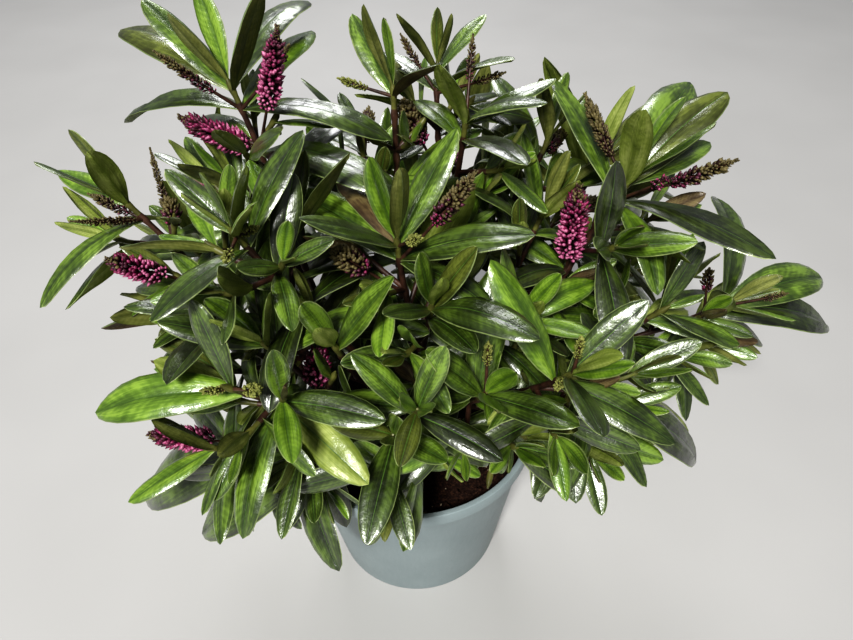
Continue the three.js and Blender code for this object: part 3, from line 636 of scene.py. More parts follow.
def grow_limb(tip):
    """A bough and its mass's main shoot are one limb from the trunk to the tip."""
    for height in START_HEIGHTS:
        for turn in START_TURNS:
            start = STEM_FOOT.lerp(STEM_TOP, (height - STEM_FOOT.z) / (STEM_TOP.z - STEM_FOOT.z))
            chord = (tip - start).normalized()
            outward = turned(Vector((tip.x, tip.y, 0)).normalized(), UP, turn)
            leaving = (chord + outward * BOUGH_OUTWARD).normalized()
            limb = limb_along(start, tip, leaving, tip_direction(tip), BOUGH_RADIUS, 0,
                              UP.cross(outward).normalized())
            limb.bare = next(
                length for point, length in zip(limb.points, limb.lengths)
                if (point - STEM_FOOT).cross(stem_axis).length > STEM_RADIUS - BOUGH_RADIUS)
            if clear_of(limb):
                return keep(limb)
    raise ValueError("no room for a bough")


def grow_fork(parent, first, tip):
    """A side shoot forks from its mass's stem."""
    for share in FORK_SHARES:
        s = first + (parent.length - first) * share
        start = point_at(parent, s)
        chord = (tip - start).normalized()
        leaving = (chord + direction_at(parent, s)).normalized()
        limb = limb_along(start, tip, leaving, tip_direction(tip),
                          radius_at(parent, s) * FORK_RADIUS, FORK_BARE, square_to(parent.side, chord))
        if clear_of(limb, parent):
            return keep(limb)
    raise ValueError("no room for a side shoot")


masses = []
for index, (name, shoots) in enumerate(MASSES.items()):
    limb = grow_limb(Vector(shoots[0][0]))
    bough_end = max(BOUGH_MIN, limb.length * BOUGH_SHARE)
    limb.bare_to = bough_end + BOUGH_LEAFLESS
    masses.append(SimpleNamespace(name=name, index=index, limbs=[limb], bough_end=bough_end, shoots=[
        SimpleNamespace(turn=turn, leaf=leaf, largest=largest, spikes=spikes, pairs=SHOOT_PAIRS)
        for _, turn, leaf, largest, spikes in shoots
    ]))
for mass in masses:
    for tip, *_ in MASSES[mass.name][1:]:
        fork = grow_fork(mass.limbs[0], mass.bough_end + FORK_FROM, Vector(tip))
        fork.bare_to = FORK_LEAFLESS
        mass.limbs.append(fork)


def tube(limb, start, end, steps, sides, radius_of):
    """Points and faces of a closed tapering tube along part of a limb."""
    across = square_to(limb.side, direction_at(limb, (start + end) / 2))
    points, uvs = [], []
    for i in range(steps + 1):
        s = start + (end - start) * i / steps
        direction = direction_at(limb, s)
        first = square_to(across, direction)
        second = direction.cross(first)
        centre = point_at(limb, s)
        for j in range(sides):
            angle = tau * j / sides
            radius = radius_of(s, angle)
            points.append(centre + first * (radius * cos(angle)) + second * (radius * sin(angle)))
            uvs.append((abs(1 - 2 * j / sides), s * 0.02))
    faces = [tuple(range(sides))[::-1]]
    for i in range(steps):
        for j in range(sides):
            k = (j + 1) % sides
            a, b = i * sides, (i + 1) * sides
            faces.append((a + j, a + k, b + k, b + j))
    faces.append(tuple(range(steps * sides, (steps + 1) * sides)))
    return closed_shape(points, faces, [0] * len(faces), uvs)


BOUGH_SIDES = 12
BOUGH_RING_STEP = 1.6
BOUGH_RIDGES = 5
BOUGH_RIDGE = 0.1
BOUGH_GNARL = 0.14
BARK_LAP, TWIG_LAP = 1, 0.5  # how far the bark and the young skin run past the bough's end
SCAR_RISE = 0.35
SCAR_STEP, SCAR_PLACE, SCAR_SPREAD = 17, 8, 1.2


def bark_radius(limb):
    """A bough's radius with ridges along it and a ring scar wherever leaves once grew."""
    def radius(s, angle):
        ridge = BOUGH_RIDGE * sin(BOUGH_RIDGES * angle + 0.05 * s)
        ridge += BOUGH_GNARL * noise.noise(Vector((angle, 0.3 * s, limb.length)))
        scar = SCAR_RISE * exp(-((s % SCAR_STEP) - SCAR_PLACE) ** 2 / SCAR_SPREAD)
        return radius_at(limb, s) + ridge + scar
    return radius


boughs = [
    tube(mass.limbs[0], 0, mass.bough_end + BARK_LAP, round(mass.bough_end / BOUGH_RING_STEP),
         BOUGH_SIDES, bark_radius(mass.limbs[0]))
    for mass in masses
]
joined("bough_bark", boughs, [bark], *[f"bough_{mass.name}" for mass in masses], slot="bark")

# ---- twigs ----
# Young stems in their second year and this year's growth: smooth purplish-brown skin,
# greener towards the tip, swollen where each pair of leaves sits.

PAIRS = [  # from the tip down: length share, degrees off the stem, bend back, step, hull stations
    (0.5, 15, -8, 2, [6]),
    (0.68, 34, 8, 5, [6]),
    (0.9, 52, 26, 9, [3, 9]),
    (1.0, 62, 42, 21, [3, 9]),
    (1.0, 68, 46, 22, [3, 9]),
    (1.0, 74, 46, 22, [3, 9]),
    (0.94, 78, 46, 22, [3, 9]),
]
LARGEST_BEND = 46
TURN_VARIES = 16
SPREAD_VARIES = 14
STEP_SHARE = (0.92, 0.16)
LENGTH_SHARE = (0.9, 0.2)
TWIG_STARTS = [46, 66, 86, 106]
TWIG_TURNS = [20, 110, 200, 290]
TWIG_SHORTEST = 30
TWIG_VARIES = 14
TWIG_SPREAD = radians(50)
TWIG_RISE = 0.3
TWIG_TAPER = 0.8
TWIG_BARE = 5
TWIG_LEAFLESS = 6
TWIG_ROOM = 33
TWIG_PAIRS = 3
TWIG_LEAF = (58, 8)
FINE_ROUNDS = 3
FINE_STARTS = [34, 50, 70, 92, 116]
FINE_SHORTEST = 20
FINE_ROOM = 22
FINE_PAIRS = 4
FINE_LEAF = (42, 14)


def grow_twig(parent, random, starts, room, shortest):
    """A side twig starts some way down its parent and is kept where its tip has room."""
    for from_tip in starts:
        s = parent.length - from_tip
        direction = direction_at(parent, s)
        first = square_to(parent.side, direction)
        for turn in TWIG_TURNS:
            length = shortest + TWIG_VARIES * random()
            if s < parent.bare_to:
                continue
            start = point_at(parent, s)
            out = turned(first, direction, turn)
            leaving = direction * cos(TWIG_SPREAD) + out * sin(TWIG_SPREAD)
            tip = start + leaving * length
            arriving = leaving.lerp(UP, TWIG_RISE).normalized()
            limb = limb_along(start, tip, leaving, arriving, radius_at(parent, s) * TWIG_TAPER,
                              TWIG_BARE, square_to(parent.side, leaving))
            limb.bare_to = TWIG_LEAFLESS
            crowded = any((other.points[-1] - tip).length < room for other in grown)
            if not crowded and clear_of(limb, parent):
                return keep(limb)
    return None


for mass in masses:
    random = stream(500 + 31 * mass.index)
    twig = grow_twig(mass.limbs[0], random, TWIG_STARTS, TWIG_ROOM, TWIG_SHORTEST)
    if twig:
        mass.limbs.append(twig)
        mass.shoots.append(SimpleNamespace(
            turn=360 * random(), leaf=varied(random, *TWIG_LEAF), largest=[], spikes=[],
            pairs=TWIG_PAIRS))

# Finer twigs, by the same rule, in the room that is left.
fine_limbs = []
for mass in masses:
    random = stream(2000 + 53 * mass.index)
    for parent in list(mass.limbs):
        for _ in range(FINE_ROUNDS):
            twig = grow_twig(parent, random, FINE_STARTS, FINE_ROOM, FINE_SHORTEST)
            if twig:
                shoot = SimpleNamespace(
                    turn=360 * random(), leaf=varied(random, *FINE_LEAF), pairs=FINE_PAIRS)
                fine_limbs.append((mass, twig, shoot))

TWIG_SIDES = 8
TWIG_RING_STEP = 3.2
TWIG_FLUTE = 0.06
NODE_SWELL = 0.45
NODE_LENGTH = 1.3
TIP_SHARE, TIP_LENGTH = 0.35, 3
SKIN_FROM = [14, 95]  # from the tip down, where green turns to purple and purple to brown
MORE_PAIRS = 2


def pair_place(limb, pair):
    """The place on a limb of a pair of leaves, counted from its tip."""
    return limb.length - sum(step for _, _, _, step, _ in PAIRS[:pair + 1])


def compass_direction(turn):
    """A level direction: 0 degrees is right, 90 back."""
    return Vector((cos(radians(turn)), sin(radians(turn)), 0))


def leaf_plan(limb, place, **looks):
    """A leaf that is to grow from a place on a limb."""
    return SimpleNamespace(limb=limb, place=place, root=point_at(limb, place),
                           direction=direction_at(limb, place), **looks)


def plan_largest(shoot, limb):
    """A shoot's largest leaves."""
    plans = []
    for pair, compass, off, length, tone in shoot.largest:
        s = pair_place(limb, pair)
        axis = square_to(compass_direction(compass), direction_at(limb, s))
        plans.append(leaf_plan(limb, s, axis=axis, turn=0, spread=off, length=length, index=-1,
                               bend=LARGEST_BEND, stations=[3, 9], tone=tone))
    return plans


def plan_leaves(shoot, limb, random, first_pair=0):
    """Both leaves of a shoot's pairs, from its tip down its stem."""
    plans = []
    first = compass_direction(shoot.turn)
    from_tip = 0
    for index, (share, spread, bend, step, stations) in enumerate(PAIRS[:shoot.pairs]):
        from_tip += step * varied(random, *STEP_SHARE)
        s = limb.length - from_tip
        direction = direction_at(limb, s)
        axis = turned(square_to(first, direction), direction, 90 if index % 2 else 0)
        for side in (0, 180):
            plan = leaf_plan(
                limb, s, axis=axis, turn=side + TURN_VARIES * (random() - 0.5),
                spread=spread + SPREAD_VARIES * (random() - 0.5),
                length=shoot.leaf * share * varied(random, *LENGTH_SHARE),
                bend=bend, stations=stations, index=index, tone=None)
            if s >= limb.bare_to and index >= first_pair:
                plans.append(plan)
    return plans


plans = []
fine_plans = []
for mass in masses:
    random = stream(1000 + 77 * mass.index)
    for shoot, limb in zip(mass.shoots, mass.limbs):
        plans += plan_largest(shoot, limb) + plan_leaves(shoot, limb, random)
    # Inside the crown, each shoot keeps more pairs of older leaves.
    random = stream(4000 + 91 * mass.index)
    for shoot, limb in zip(mass.shoots, mass.limbs):
        shoot.pairs += MORE_PAIRS
        fine_plans += plan_leaves(shoot, limb, random, shoot.pairs - MORE_PAIRS)
for mass, limb, shoot in fine_limbs:
    random = stream(6000 + round(10 * limb.length))
    fine_plans += plan_leaves(shoot, limb, random)


def twig_radius(limb, joints):
    """A twig's radius, swollen where the leaf pairs sit and rounded at its end."""
    def radius(s, angle):
        swell = sum(exp(-((s - joint) / NODE_LENGTH) ** 2) for joint in joints)
        flute = TWIG_FLUTE * cos(4 * angle)
        end = min(1, TIP_SHARE + (limb.length - s) / TIP_LENGTH)
        return (radius_at(limb, s) + NODE_SWELL * min(1, swell) + flute) * end
    return radius


def stem_skin(name, dark, light):
    """Young stem: smooth skin with a slight sheen; the brown deepens with age."""
    return two_tone(name, (0.35, dark), (0.68, light), 5, 0.45, detail=4, grain=0.9, relief=0.12)


green_stem = stem_skin("green_stem_skin", "4a4a26", "6f7038")
purple_stem = stem_skin("purple_stem_skin", "30201a", "573c2f")
brown_stem = stem_skin("brown_stem_skin", "3a2922", "664a3a")

joints = {}
for plan in plans + fine_plans:
    joints.setdefault(id(plan.limb), set()).add(plan.place)
twigs = []
for mass, limb in [(m, li) for m in masses for li in m.limbs] + [(m, li) for m, li, _ in fine_limbs]:
    start = mass.bough_end - TWIG_LAP if limb is mass.limbs[0] else 0
    steps = round((limb.length - start) / TWIG_RING_STEP)
    swollen = twig_radius(limb, joints.get(id(limb), []))
    twig = tube(limb, start, limb.length, steps, TWIG_SIDES, swollen)
    twig.slots = [2]
    for i in range(steps):
        from_tip = (limb.length - start) * (1 - i / steps)
        twig.slots += [bisect_right(SKIN_FROM, from_tip)] * TWIG_SIDES
    twig.slots.append(0)
    twigs.append(twig)
masses_of_foliage = [f"foliage_{mass.name}" for mass in masses]
joined("twig_stems", twigs, [green_stem, purple_stem, brown_stem], *masses_of_foliage, slot="bark")

# ---- room taken up ----
# Leaves keep clear of one another, of the spikes and of the stems. Each is stood in for
# by a simple hull: a keeled blade, a spindle on a thin stalk or a prism.

BOUGH_HULL_STEPS = 5
BOUGH_HULL_SIDES = 5
TWIG_HULL_STEP = 16
TWIG_HULL_SIDES = 3
CORNER_SHARE = 1.5
MOST_ITEMS = 8000
LIGHT = Vector((0, -280, 430))
GAP_FOOT = [(10, -50), (34, -60), (56, -38), (38, -41)]
GAP_REACH = 200
taken = SimpleNamespace(items=[], low=np.zeros((MOST_ITEMS, 3)), high=np.zeros((MOST_ITEMS, 3)))


def loft(rings):
    """Points and triangles of a closed skin through rings; a ring may be a single point."""
    points = [point for ring in rings for point in ring]
    faces = []
    start = 0
    for near, far in zip(rings, rings[1:]):
        a, b = len(near), len(far)
        after = start + a
        for j in range(max(a, b)):
            k = (j + 1) % max(a, b)
            if a > 1:
                faces.append((start + j, start + k, after + (k if b > 1 else 0)))
            if b > 1:
                faces.append((start + (j if a > 1 else 0), after + k, after + j))
        start = after
    faces += [(0, j + 1, j) for j in range(1, len(rings[0]) - 1)]
    faces += [(start, start + j, start + j + 1) for j in range(1, len(rings[-1]) - 1)]
    return points, faces


def ring(centre, direction, radius, sides):
    """Points of a regular ring square to a direction."""
    reference = Vector((1, 0, 0)) if abs(direction.z) > 0.8 else UP
    across = square_to(reference, direction)
    other = direction.cross(across)
    angles = [tau * i / sides for i in range(sides)]
    return [centre + across * (radius * cos(a)) + other * (radius * sin(a)) for a in angles]


def take(hull, limb=None, blade=False):
    """Notes that a hull's room is taken."""
    points, faces = hull
    corners = np.array(points)
    i = len(taken.items)
    taken.low[i], taken.high[i] = corners.min(0), corners.max(0)
    tree = BVHTree.FromPolygons(points, faces)
    taken.items.append(SimpleNamespace(tree=tree, limb=limb, blade=blade))


def touches(hull, counts):
    """Whether a hull meets any taken item that counts."""
    points, faces = hull
    corners = np.array(points)
    n = len(taken.items)
    near = (taken.low[:n] <= corners.max(0)).all(1) & (taken.high[:n] >= corners.min(0)).all(1)
    tree = BVHTree.FromPolygons(points, faces)
    others = [taken.items[i] for i in np.flatnonzero(near)]
    return any(counts(item) and tree.overlap(item.tree) for item in others)


def take_twig(limb, start=0):
    """Notes the room of a twig as a prism that encloses it."""
    steps = max(1, round((limb.length - start) / TWIG_HULL_STEP))
    twig = tube(limb, start, limb.length, steps, TWIG_HULL_SIDES,
                lambda s, angle: CORNER_SHARE * radius_at(limb, s))
    take((twig.points.tolist(), twig.faces), limb)


for node in ("pot", "soil", "main_stem"):
    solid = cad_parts[node].data
    corners = [vertex.co / MM for vertex in solid.vertices]
    take((corners, [tuple(face.vertices) for face in solid.polygons]))
for mass in masses:
    main, *others = mass.limbs
    bough = tube(main, 0, mass.bough_end, BOUGH_HULL_STEPS, BOUGH_HULL_SIDES,
                 lambda s, angle: radius_at(main, s))
    take((bough.points.tolist(), bough.faces))
    take_twig(main, mass.bough_end + CLEAR)
    for limb in others:
        take_twig(limb)
for _, limb, _ in fine_limbs:
    take_twig(limb)
# A gap in the crown at the front, where light gets down to the soil.
gap_foot = [Vector((x, y, SOIL_TOP)) for x, y in GAP_FOOT]
gap_rise = (LIGHT - gap_foot[0]).normalized() * GAP_REACH
take(loft([gap_foot, [p + gap_rise for p in gap_foot]]))

# ---- flower spikes ----
# Racemes of buds: each bud sits in a small calyx, spiralling round a stalk. The lowest
# ripen first, from cream through brown and purple to bright pink.

SPIKE_SIDES = 5
SPIKE_RINGS = [(0.0, 0.6), (0.2, 1.0), (0.7, 0.75), (1.0, 0.0)]
SPIKE_MEAN = 0.75
SPIKE_TIP = 0.16
SPIKE_DROOP = 0.05
STALK_HULL_RADIUS = 0.8
STALK_HULL_LAP = 2
STALK_RADIUS = 0.95
STALK_THINS = 0.6
STALK_STEPS = 14
STALK_SIDES = 6
LIGHT_REACH = 110
GOLDEN_TURN = radians(137.5)
BUD_SIDES = 5
BUD_CALYX, BUD_WAIST = (0.3, 0.42), (0.68, 0.5)  # share of the length, half width there
BUD_CROWDING = 1.35
BUD_LEAN = 36
BUD_LEAN_GAIN = 20
BUD_LEAN_VARIES = 26
BUD_SEAT = 0.25
BUD_LONGEST = 6.4
BUD_WIDTH_SHARE = 0.36
BUD_WIDTHS = (0.7, 1.8)
BUD_LENGTH_SHARE = (0.78, 0.34)
BUD_PLUMPNESS = (0.85, 0.3)
CALYX, STALK = 6, 7  # material slots, as the ripeness table has those of the buds
BUD_TURN_VARIES = 40
RIPENESS_VARIES = 0.4
# For each ripeness: the space between buds, their reach as a share of the spike's radius,
# and from its foot up the share of the way and the bud's slots for its body and its tip.
# A tip's skin is mostly a stage paler than its body: partly the opening petals' own colour, partly a
# painted highlight.
RIPENESS = {
    "magenta": (1.9, 1.32, [(0.2, 3, 5), (0.5, 4, 5), (0.72, 3, 4), (0.9, 2, 3), (2.0, 2, 1)]),
    "rose": (2.05, 1.18, [(0.1, 2, 4), (0.45, 3, 5), (0.8, 3, 4), (2.0, 2, 3)]),
    "dark": (1.7, 1.05, [(0.05, 2, 4), (0.3, 2, 3), (0.6, 2, 1), (2.0, 1, 1)]),
    "olive": (1.5, 1, [(0.35, 2, 1), (2.0, 1, 1)]),
    "cream": (1.2, 1, [(2.0, 0, 0)]),
}


def bud_skin(name, dark, light, patch, roughness):
    """Bud skin: thin petals or scales, softly shaded, with a fine grain."""
    return two_tone(name, (0.36, dark), (0.64, light), patch, roughness, grain=0.3, relief=0.06)


bud_skins = [
    bud_skin("cream_bud", "62682f", "949656", 1.5, 0.6),
    bud_skin("olive_bud", "4a4228", "776d48", 1.5, 0.6),
    bud_skin("brown_purple_bud", "2a1b1a", "4c312e", 1.6, 0.5),
    bud_skin("dark_purple_bud", "3d1d2b", "6b344a", 1.6, 0.42),
    bud_skin("magenta_bud", "661f42", "9c3c68", 1.6, 0.38),
    # Pale pink tips: partly the petals' own colour, partly a painted highlight.
    bud_skin("pink_bud_tip", "94406a", "cf86a6", 1.6, 0.4),
    bud_skin("calyx_scale", "1c140e", "3a2c1c", 1.2, 0.65),
]


def spindle_radius(share):
    """Part of a spike's full radius along it."""
    for (a, low), (b, high) in zip(SPIKE_RINGS, SPIKE_RINGS[1:]):
        if share <= b:
            return low + (high - low) * (share - a) / (b - a)
    return 0


def bud(root, direction, length, width, body, tip):
    """One bud: a calyx cup below, a body and a pointed tip."""
    rings = [
        ring(root + direction * (share * length), direction, half * width, BUD_SIDES)
        for share, half in (BUD_CALYX, BUD_WAIST)
    ]
    points, faces = loft([[root], *rings, [root + direction * length]])
    return closed_shape(
        points, faces, [CALYX] * BUD_SIDES + [body] * 2 * BUD_SIDES + [tip] * BUD_SIDES)


flowers = []
for mass in masses:
    random = stream(8000 + 17 * mass.index)
    for shoot, limb in zip(mass.shoots, mass.limbs):
        for pair, compass, off, length, radius, stalk, ripeness in shoot.spikes:
            s = pair_place(limb, pair)
            direction = direction_at(limb, s)
            out = square_to(compass_direction(compass), direction)
            d = direction * cos(radians(off)) + out * sin(radians(off))
            root = point_at(limb, s)
            foot = root + d * stalk
            body = length - stalk
            take(loft([
                ring(end, d, STALK_HULL_RADIUS, TWIG_HULL_SIDES)
                for end in (root, foot + d * STALK_HULL_LAP)
            ]), limb, True)
            take(loft([
                ring(foot + d * (share * body), d, radius * width, SPIKE_SIDES)
                for share, width in SPIKE_RINGS[:-1]
            ] + [[foot + d * body]]), limb, True)
            # Leaves stay off the spike's side to the light.
            to_light = (LIGHT - foot).normalized()
            across = d.cross(to_light).normalized() * radius
            end = root + d * length
            lit = [foot - across, foot + across, end + across, end - across]
            take(loft([lit, [p + to_light * LIGHT_REACH for p in lit]]), limb, True)

            droop = square_to(UP, d) * (SPIKE_DROOP * body)
            stem = limb_along(root, foot + d * body + droop, d, (d + droop / body * 2).normalized(),
                              STALK_RADIUS, 0, square_to(Vector((0.3, 0.2, 1)), d))
            axis = tube(stem, 0, stem.length - 1, STALK_STEPS, STALK_SIDES,
                        lambda s, angle: STALK_RADIUS - STALK_THINS * s / stem.length)
            axis.slots = [STALK] * len(axis.faces)
            flowers.append(axis)
            spacing, bud_reach, stages = RIPENESS[ripeness]
            count = round(tau * SPIKE_MEAN * radius * body / spacing ** 2)
            for i in range(count):
                share = 1 - (1 - (i + random()) / count) ** BUD_CROWDING
                place = stalk + share * body
                along = direction_at(stem, place)
                side = degrees(GOLDEN_TURN * i) + BUD_TURN_VARIES * (random() - 0.5)
                around = turned(square_to(stem.side, along), along, side)
                reach = bud_reach * radius * max(spindle_radius(share), SPIKE_TIP)
                reach *= varied(random, *BUD_LENGTH_SHARE)
                lean = radians(BUD_LEAN + BUD_LEAN_GAIN * share + BUD_LEAN_VARIES * (random() - 0.5))
                heading = around * cos(lean) + along * sin(lean)
                start = point_at(stem, place) + around * (BUD_SEAT * reach)
                size = min((1 - BUD_SEAT) * reach / cos(lean), BUD_LONGEST)
                ripe = share + RIPENESS_VARIES * (random() - 0.5)
                slots = next((low, high) for limit, low, high in stages if ripe <= limit)
                width = min(max(BUD_WIDTH_SHARE * size, BUD_WIDTHS[0]), BUD_WIDTHS[1])
                width *= varied(random, *BUD_PLUMPNESS)
                flowers.append(bud(start, heading, size, width, *slots))
joined("flower_buds", flowers, bud_skins + [purple_stem], *masses_of_foliage, slot="foliage", crease=75)

# ---- leaves ----
# Lance-shaped evergreen leaves in crossed pairs: leathery, glossy dark green above with
# a pale sunken midrib, paler below, thin pale margins; young ones olive to bronze below.

LEAF_STEPS = 12
LEAF_WIDTH = 0.345
LEAF_FOLD = radians(30)
LEAF_NARROWS = (0.8, 0.62)
LEAF_KEEL = 0.3
KEEL_MARGIN = 1.6
LEAF_MARGIN = 0.35
LEAF_FREE = 2
SAG = 0.24
FACE_UP = 0.9
FITS = [
    (0, 0, 1), (13, 0, 1), (-13, 0, 1), (0, 14, 1), (0, -14, 1),
    (26, 8, 0.92), (-26, 8, 0.92), (12, -22, 0.85), (-12, 22, 0.85), (0, 0, 0.7),
]
LEAF_STATIONS = [0, 0.8, 2, 3.5, 5, 6.5, 8, 9.5, 10.7, 11.5]
PETIOLE_HALF = 0.9
LEAF_THICKNESS = 0.45
FOLD_SHARE = (0.72, 0.3)
DOME_SHARE = (0.78, 0.3)
LEAF_TWIST = 16
LEAF_WAVE = 0.06
LEAF_WAVES = 9
LEAF_HOLLOW = 0.12
MIDRIB_SUNK = 0.12
MARGIN_STRIP = 0.36
MIDRIB_STRIP = 0.3
MIDRIB_NARROWS = 0.6
WIDEST_STRIP = 0.3
UNDER_LINES = [(-0.5, 1), (0, 2.2), (0.5, 1)]  # place across, share of the thickness
TOPS = (0, 1, 2, 3, 4, 5, 6, 7)
UNDERS = (0, 8, 9, 10, 7)


def width_share(share):
    """Part of the full width along a leaf, 1 where it is widest."""
    foot, tip = LEAF_NARROWS
    widest = foot / (foot + tip)
    return (share / widest) ** foot * ((1 - share) / (1 - widest)) ** tip


def midrib(root, direction, face, length, bend):
    """The leaf's line bends back from the stem, sags and turns its face up."""
    turn = radians(bend) / LEAF_STEPS
    p, d, n = root, direction, face
    line = [(p, d, n)]
    for _ in range(LEAF_STEPS):
        d = (d - n * turn - UP * (SAG / LEAF_STEPS)).normalized()
        n = square_to(n + UP * (FACE_UP / LEAF_STEPS), d)
        p = p + d * (length / LEAF_STEPS)
        line.append((p, d, n))
    return line


def leaf_hull(line, length, stations, first):
    """The keeled blade that a leaf takes up, with a margin round it."""
    rings = [[line[first][0]]]
    for i in stations:
        p, d, n = line[i]
        half = 0.5 * length * LEAF_WIDTH * width_share(i / LEAF_STEPS)
        across = n.cross(d) * (half * cos(LEAF_FOLD) + LEAF_MARGIN)
        rise = 0.5 * half * sin(LEAF_FOLD)
        above = n * (rise + LEAF_MARGIN)
        keel = p - n * (rise + LEAF_KEEL + KEEL_MARGIN * LEAF_MARGIN)
        rings.append([p + across + above, p - across + above, keel])
    rings.append([line[-1][0] + line[-1][1] * LEAF_MARGIN])
    return loft(rings)


def fit_leaf(plan):
    """The first way of setting a planned leaf that touches nothing."""
    for turn, lift, share in FITS:
        spread = radians(plan.spread - lift)
        out = turned(plan.axis, plan.direction, plan.turn + turn)
        d = plan.direction * cos(spread) + out * sin(spread)
        n = plan.direction * sin(spread) - out * cos(spread)
        length = plan.length * share
        line = midrib(plan.root, d, n, length, plan.bend)
        hull = leaf_hull(line, length, plan.stations, 0)
        if touches(hull, lambda item: item.limb is not plan.limb):
            continue
        blade = leaf_hull(line, length, plan.stations, LEAF_FREE)
        if touches(blade, lambda item: item.blade and item.limb is plan.limb):
            continue
        take(hull, plan.limb, True)
        return SimpleNamespace(line=line, length=length, plan=plan)
    return None


def leaf_shape(leaf, top, under, random):
    """A folded, slightly domed blade with its midrib, margins and underside."""
    line = np.array([[*p, *d, *n] for p, d, n in leaf.line])
    fold = varied(random, *FOLD_SHARE)
    dome = varied(random, *DOME_SHARE)
    twist = radians(LEAF_TWIST * (random() - 0.5))
    phase = tau * random()
    points, uvs = [], []
    for station in LEAF_STATIONS:
        row = np.array([np.interp(station, range(LEAF_STEPS + 1), column) for column in line.T])
        p, d, n = Vector(row[:3]), Vector(row[3:6]).normalized(), Vector(row[6:])
        share = station / LEAF_STEPS
        n = turned(square_to(n, d), d, degrees(twist * share))
        across = n.cross(d)
        half = 0.5 * leaf.length * LEAF_WIDTH * width_share(share) * cos(LEAF_FOLD)
        half = max(half, PETIOLE_HALF * (1 - share))
        edge = min(MARGIN_STRIP / half, WIDEST_STRIP)
        rib = min(MIDRIB_STRIP * (1 - MIDRIB_NARROWS * share) / half, WIDEST_STRIP)
        wave = LEAF_WAVE * sin(phase + LEAF_WAVES * share)

        def height(v):
            return half * (fold * abs(v) - dome * v * v + wave * v - LEAF_HOLLOW)

        for v in (-1, -1 + edge, -0.5, -rib, rib, 0.5, 1 - edge, 1):
            sunk = MIDRIB_SUNK if abs(v) == rib else 0
            points.append(p + across * (half * v) + n * (height(v) - sunk))
            uvs.append((0.5 + 0.5 * v, share))
        for v, thick in UNDER_LINES:
            points.append(p + across * (half * v) + n * (height(v) - LEAF_THICKNESS * thick))
            uvs.append((0.5 + 0.5 * v, share))
    points.append(leaf.line[-1][0])
    uvs.append((0.5, 1))
    tip = len(points) - 1
    around = len(TOPS) + len(UNDER_LINES)
    edge_skin, rib_skin = LEAF_SLOTS["margin"], LEAF_SLOTS["midrib"]
    strips = (edge_skin, top, top, rib_skin, top, top, edge_skin)
    faces = [TOPS + UNDERS[3:0:-1]]
    slots = [under]
    for i in range(len(LEAF_STATIONS)):
        a, b = around * i, around * (i + 1)
        last = i == len(LEAF_STATIONS) - 1
        for j, k, slot in zip(TOPS, TOPS[1:], strips):
            faces.append((a + j, tip, a + k) if last else (a + j, b + j, b + k, a + k))
            slots.append(slot)
        for j, k in zip(UNDERS, UNDERS[1:]):
            faces.append((a + j, a + k, tip) if last else (a + j, a + k, b + k, b + j))
            slots.append(under)
    return closed_shape(points, faces, slots, uvs)


def leaf_skin(name, deep, middle, light, roughness, shine):
    """Leaf skin: a waxy film over fine streaks that run along the blade, with painted light on the
    swell of each half.
    """
    material, shader, where, put = new_material(name)
    blade = put("TexCoord", "UV")
    stretched = put("Mapping", "Vector", {"Vector": blade, "Scale": (26, 5, 1)})
    drift = put("VectorMath", "Vector", {0: where, 1: (90, 90, 90)}, operation="MULTIPLY")
    along = put("VectorMath", "Vector", {0: stretched, 1: drift}, operation="ADD")
    streaks = put("TexNoise", "Fac", {"Vector": along, "Scale": 1, "Detail": 4})
    blotch = speckle(put, where, 14, Detail=4)
    pores = speckle(put, where, 0.8)
    pucker = speckle(put, where, 7, Detail=1)
    # Faint side veins slant from the midrib toward the tip.
    across = put("SeparateXYZ", "X", {"Vector": blade})
    along_blade = put("SeparateXYZ", "Y", {"Vector": blade})
    centred = put("Math", "Value", {0: across, 1: 0.5}, operation="SUBTRACT")
    aside = put("Math", "Value", {0: centred}, operation="ABSOLUTE")
    slant = put("Math", "Value", {0: aside, 1: -0.25, 2: along_blade}, operation="MULTIPLY_ADD")
    veins = put("TexWave", "Fac", {"Vector": slant, "Scale": 5, "Distortion": 3, "Detail": 2})
    mottle = put("Mix", "Result", {"Factor": 0.45, "A": blotch, "B": streaks})
    share = put("Mix", "Result", {"Factor": 0.04, "A": mottle, "B": veins})
    # Painted light and shade: each half of the blade is lighter on its swelling and darker along the
    # midrib and the margin.
    inward = put("Math", "Value", {0: aside, 1: -2, 2: 1}, operation="MULTIPLY_ADD")
    painted_swell_light = put("Math", "Value", {0: aside, 1: inward}, operation="MULTIPLY")
    # The tone adds the painted light of the swell to the leaf's own mottle and veins.
    tone = put("Math", "Value", {0: painted_swell_light, 1: 1.6, 2: share}, operation="MULTIPLY_ADD")
    fine = put("Mix", "Result", {"Factor": 0.5, "A": streaks, "B": pores})
    relief = put("Mix", "Result", {"Factor": 0.08, "A": fine, "B": veins})
    swell = put("Bump", "Normal", {"Height": pucker, "Distance": 0.6 * MM})
    grain = put("Bump", "Normal", {"Height": relief, "Distance": 0.22 * MM, "Normal": swell})
    connect(shader, {
        "Base Color": put("ValToRGB", "Color", {"Fac": tone}, [
            (0.5, deep), (0.65, middle), (0.76, light),
        ]),
        "Roughness": put("MapRange", "Result", {
            "Value": relief, "From Min": 0.3, "From Max": 0.7,
            "To Min": roughness - 0.07, "To Max": roughness + 0.1,
        }),
        "Specular IOR Level": 0.8 * shine,
        "Coat Weight": shine,
        "Coat IOR": 1.65,
        "Coat Roughness": 0.23,
        "Normal": grain,
        "Coat Normal": grain,
    })
    return material


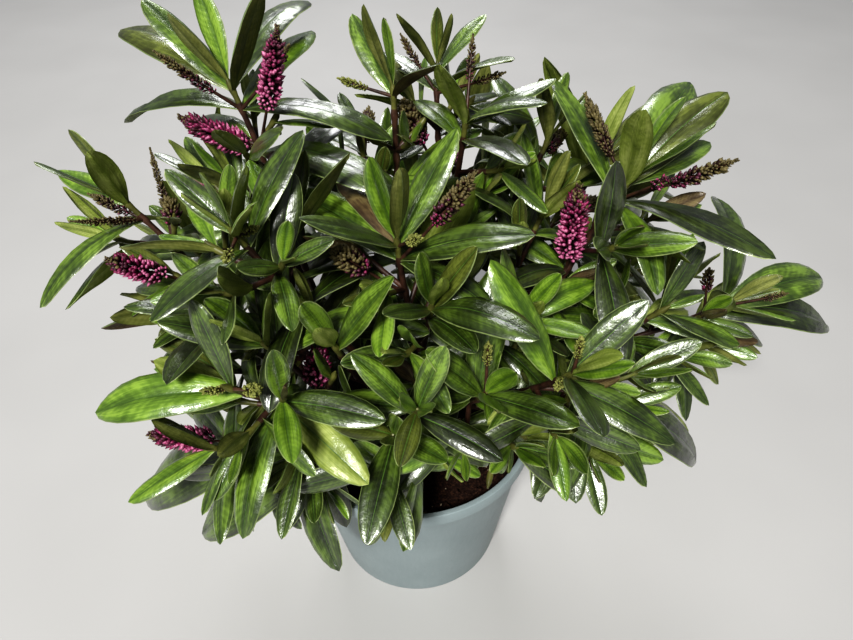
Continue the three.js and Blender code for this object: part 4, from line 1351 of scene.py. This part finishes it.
leaf_skins = {
    "margin": leaf_skin("pale_leaf_margin", "6a7848", "8f9b66", "b4bc8e", 0.45, 0.6),
    "midrib": leaf_skin("pale_midrib", "4c682a", "68853a", "8ca458", 0.42, 0.6),
    "deep": leaf_skin("deep_green_leaf", "141c08", "293411", "45551f", 0.38, 1.0),
    "green": leaf_skin("green_leaf", "1d280a", "394a17", "5c722b", 0.38, 1.0),
    "mid": leaf_skin("mid_green_leaf", "2f4211", "526920", "7c973a", 0.4, 0.9),
    "fresh": leaf_skin("fresh_green_leaf", "456017", "658327", "8aa740", 0.42, 0.8),
    "young": leaf_skin("olive_young_leaf", "3a3f18", "505823", "6d7634", 0.44, 0.6),
    "pale": leaf_skin("pale_underside", "6f7d36", "88954a", "a4ae66", 0.5, 0.4),
    "olive": leaf_skin("olive_underside", "58602f", "70753d", "8a8e52", 0.5, 0.4),
    "bronze": leaf_skin("bronze_underside", "45382a", "605139", "7b6e4c", 0.5, 0.4),
}
LEAF_SLOTS = {tone: slot for slot, tone in enumerate(leaf_skins)}
# For each pair from the tip down: the draw up to which each top is dealt, then each underside.
LEAF_TONES = [
    (
        [(0.35, "fresh"), (0.75, "mid"), (1.0, "young")],
        [(0.4, "pale"), (0.8, "olive"), (1.0, "bronze")],
    ),
    (
        [(0.2, "fresh"), (0.55, "mid"), (0.65, "young"), (1.0, "green")],
        [(0.5, "pale"), (0.92, "olive"), (1.0, "bronze")],
    ),
    (
        [(0.08, "fresh"), (0.42, "mid"), (0.85, "green"), (1.0, "deep")],
        [(0.7, "pale"), (1.0, "olive")],
    ),
    ([(0.2, "mid"), (0.65, "green"), (1.0, "deep")], [(0.8, "pale"), (1.0, "olive")]),
    ([(0.12, "mid"), (0.55, "green"), (1.0, "deep")], [(0.8, "pale"), (1.0, "olive")]),
]
LARGEST_AGE = 3  # the largest leaves are toned as the fourth pair is


def dealt(chances, draw):
    """The slot of the tone that a draw deals."""
    return next(LEAF_SLOTS[tone] for limit, tone in chances if draw <= limit)


plans.sort(key=lambda plan: plan.index)
fine_plans.sort(key=lambda plan: plan.index)
leaves = [leaf for leaf in map(fit_leaf, plans + fine_plans) if leaf]
random = stream(15209)
shapes = {"front": [], "back": []}
for leaf in leaves:
    index = leaf.plan.index if leaf.plan.index >= 0 else LARGEST_AGE
    tops, unders = LEAF_TONES[min(index, len(LEAF_TONES) - 1)]
    top = dealt(tops, random())
    if leaf.plan.tone:
        top = LEAF_SLOTS[leaf.plan.tone]
    half = "front" if leaf.plan.root.y < 0 else "back"
    shapes[half].append(leaf_shape(leaf, top, dealt(unders, random()), random))
for half, blades in shapes.items():
    joined(f"leaves_{half}", blades, leaf_skins.values(), *masses_of_foliage, slot="foliage", crease=70)
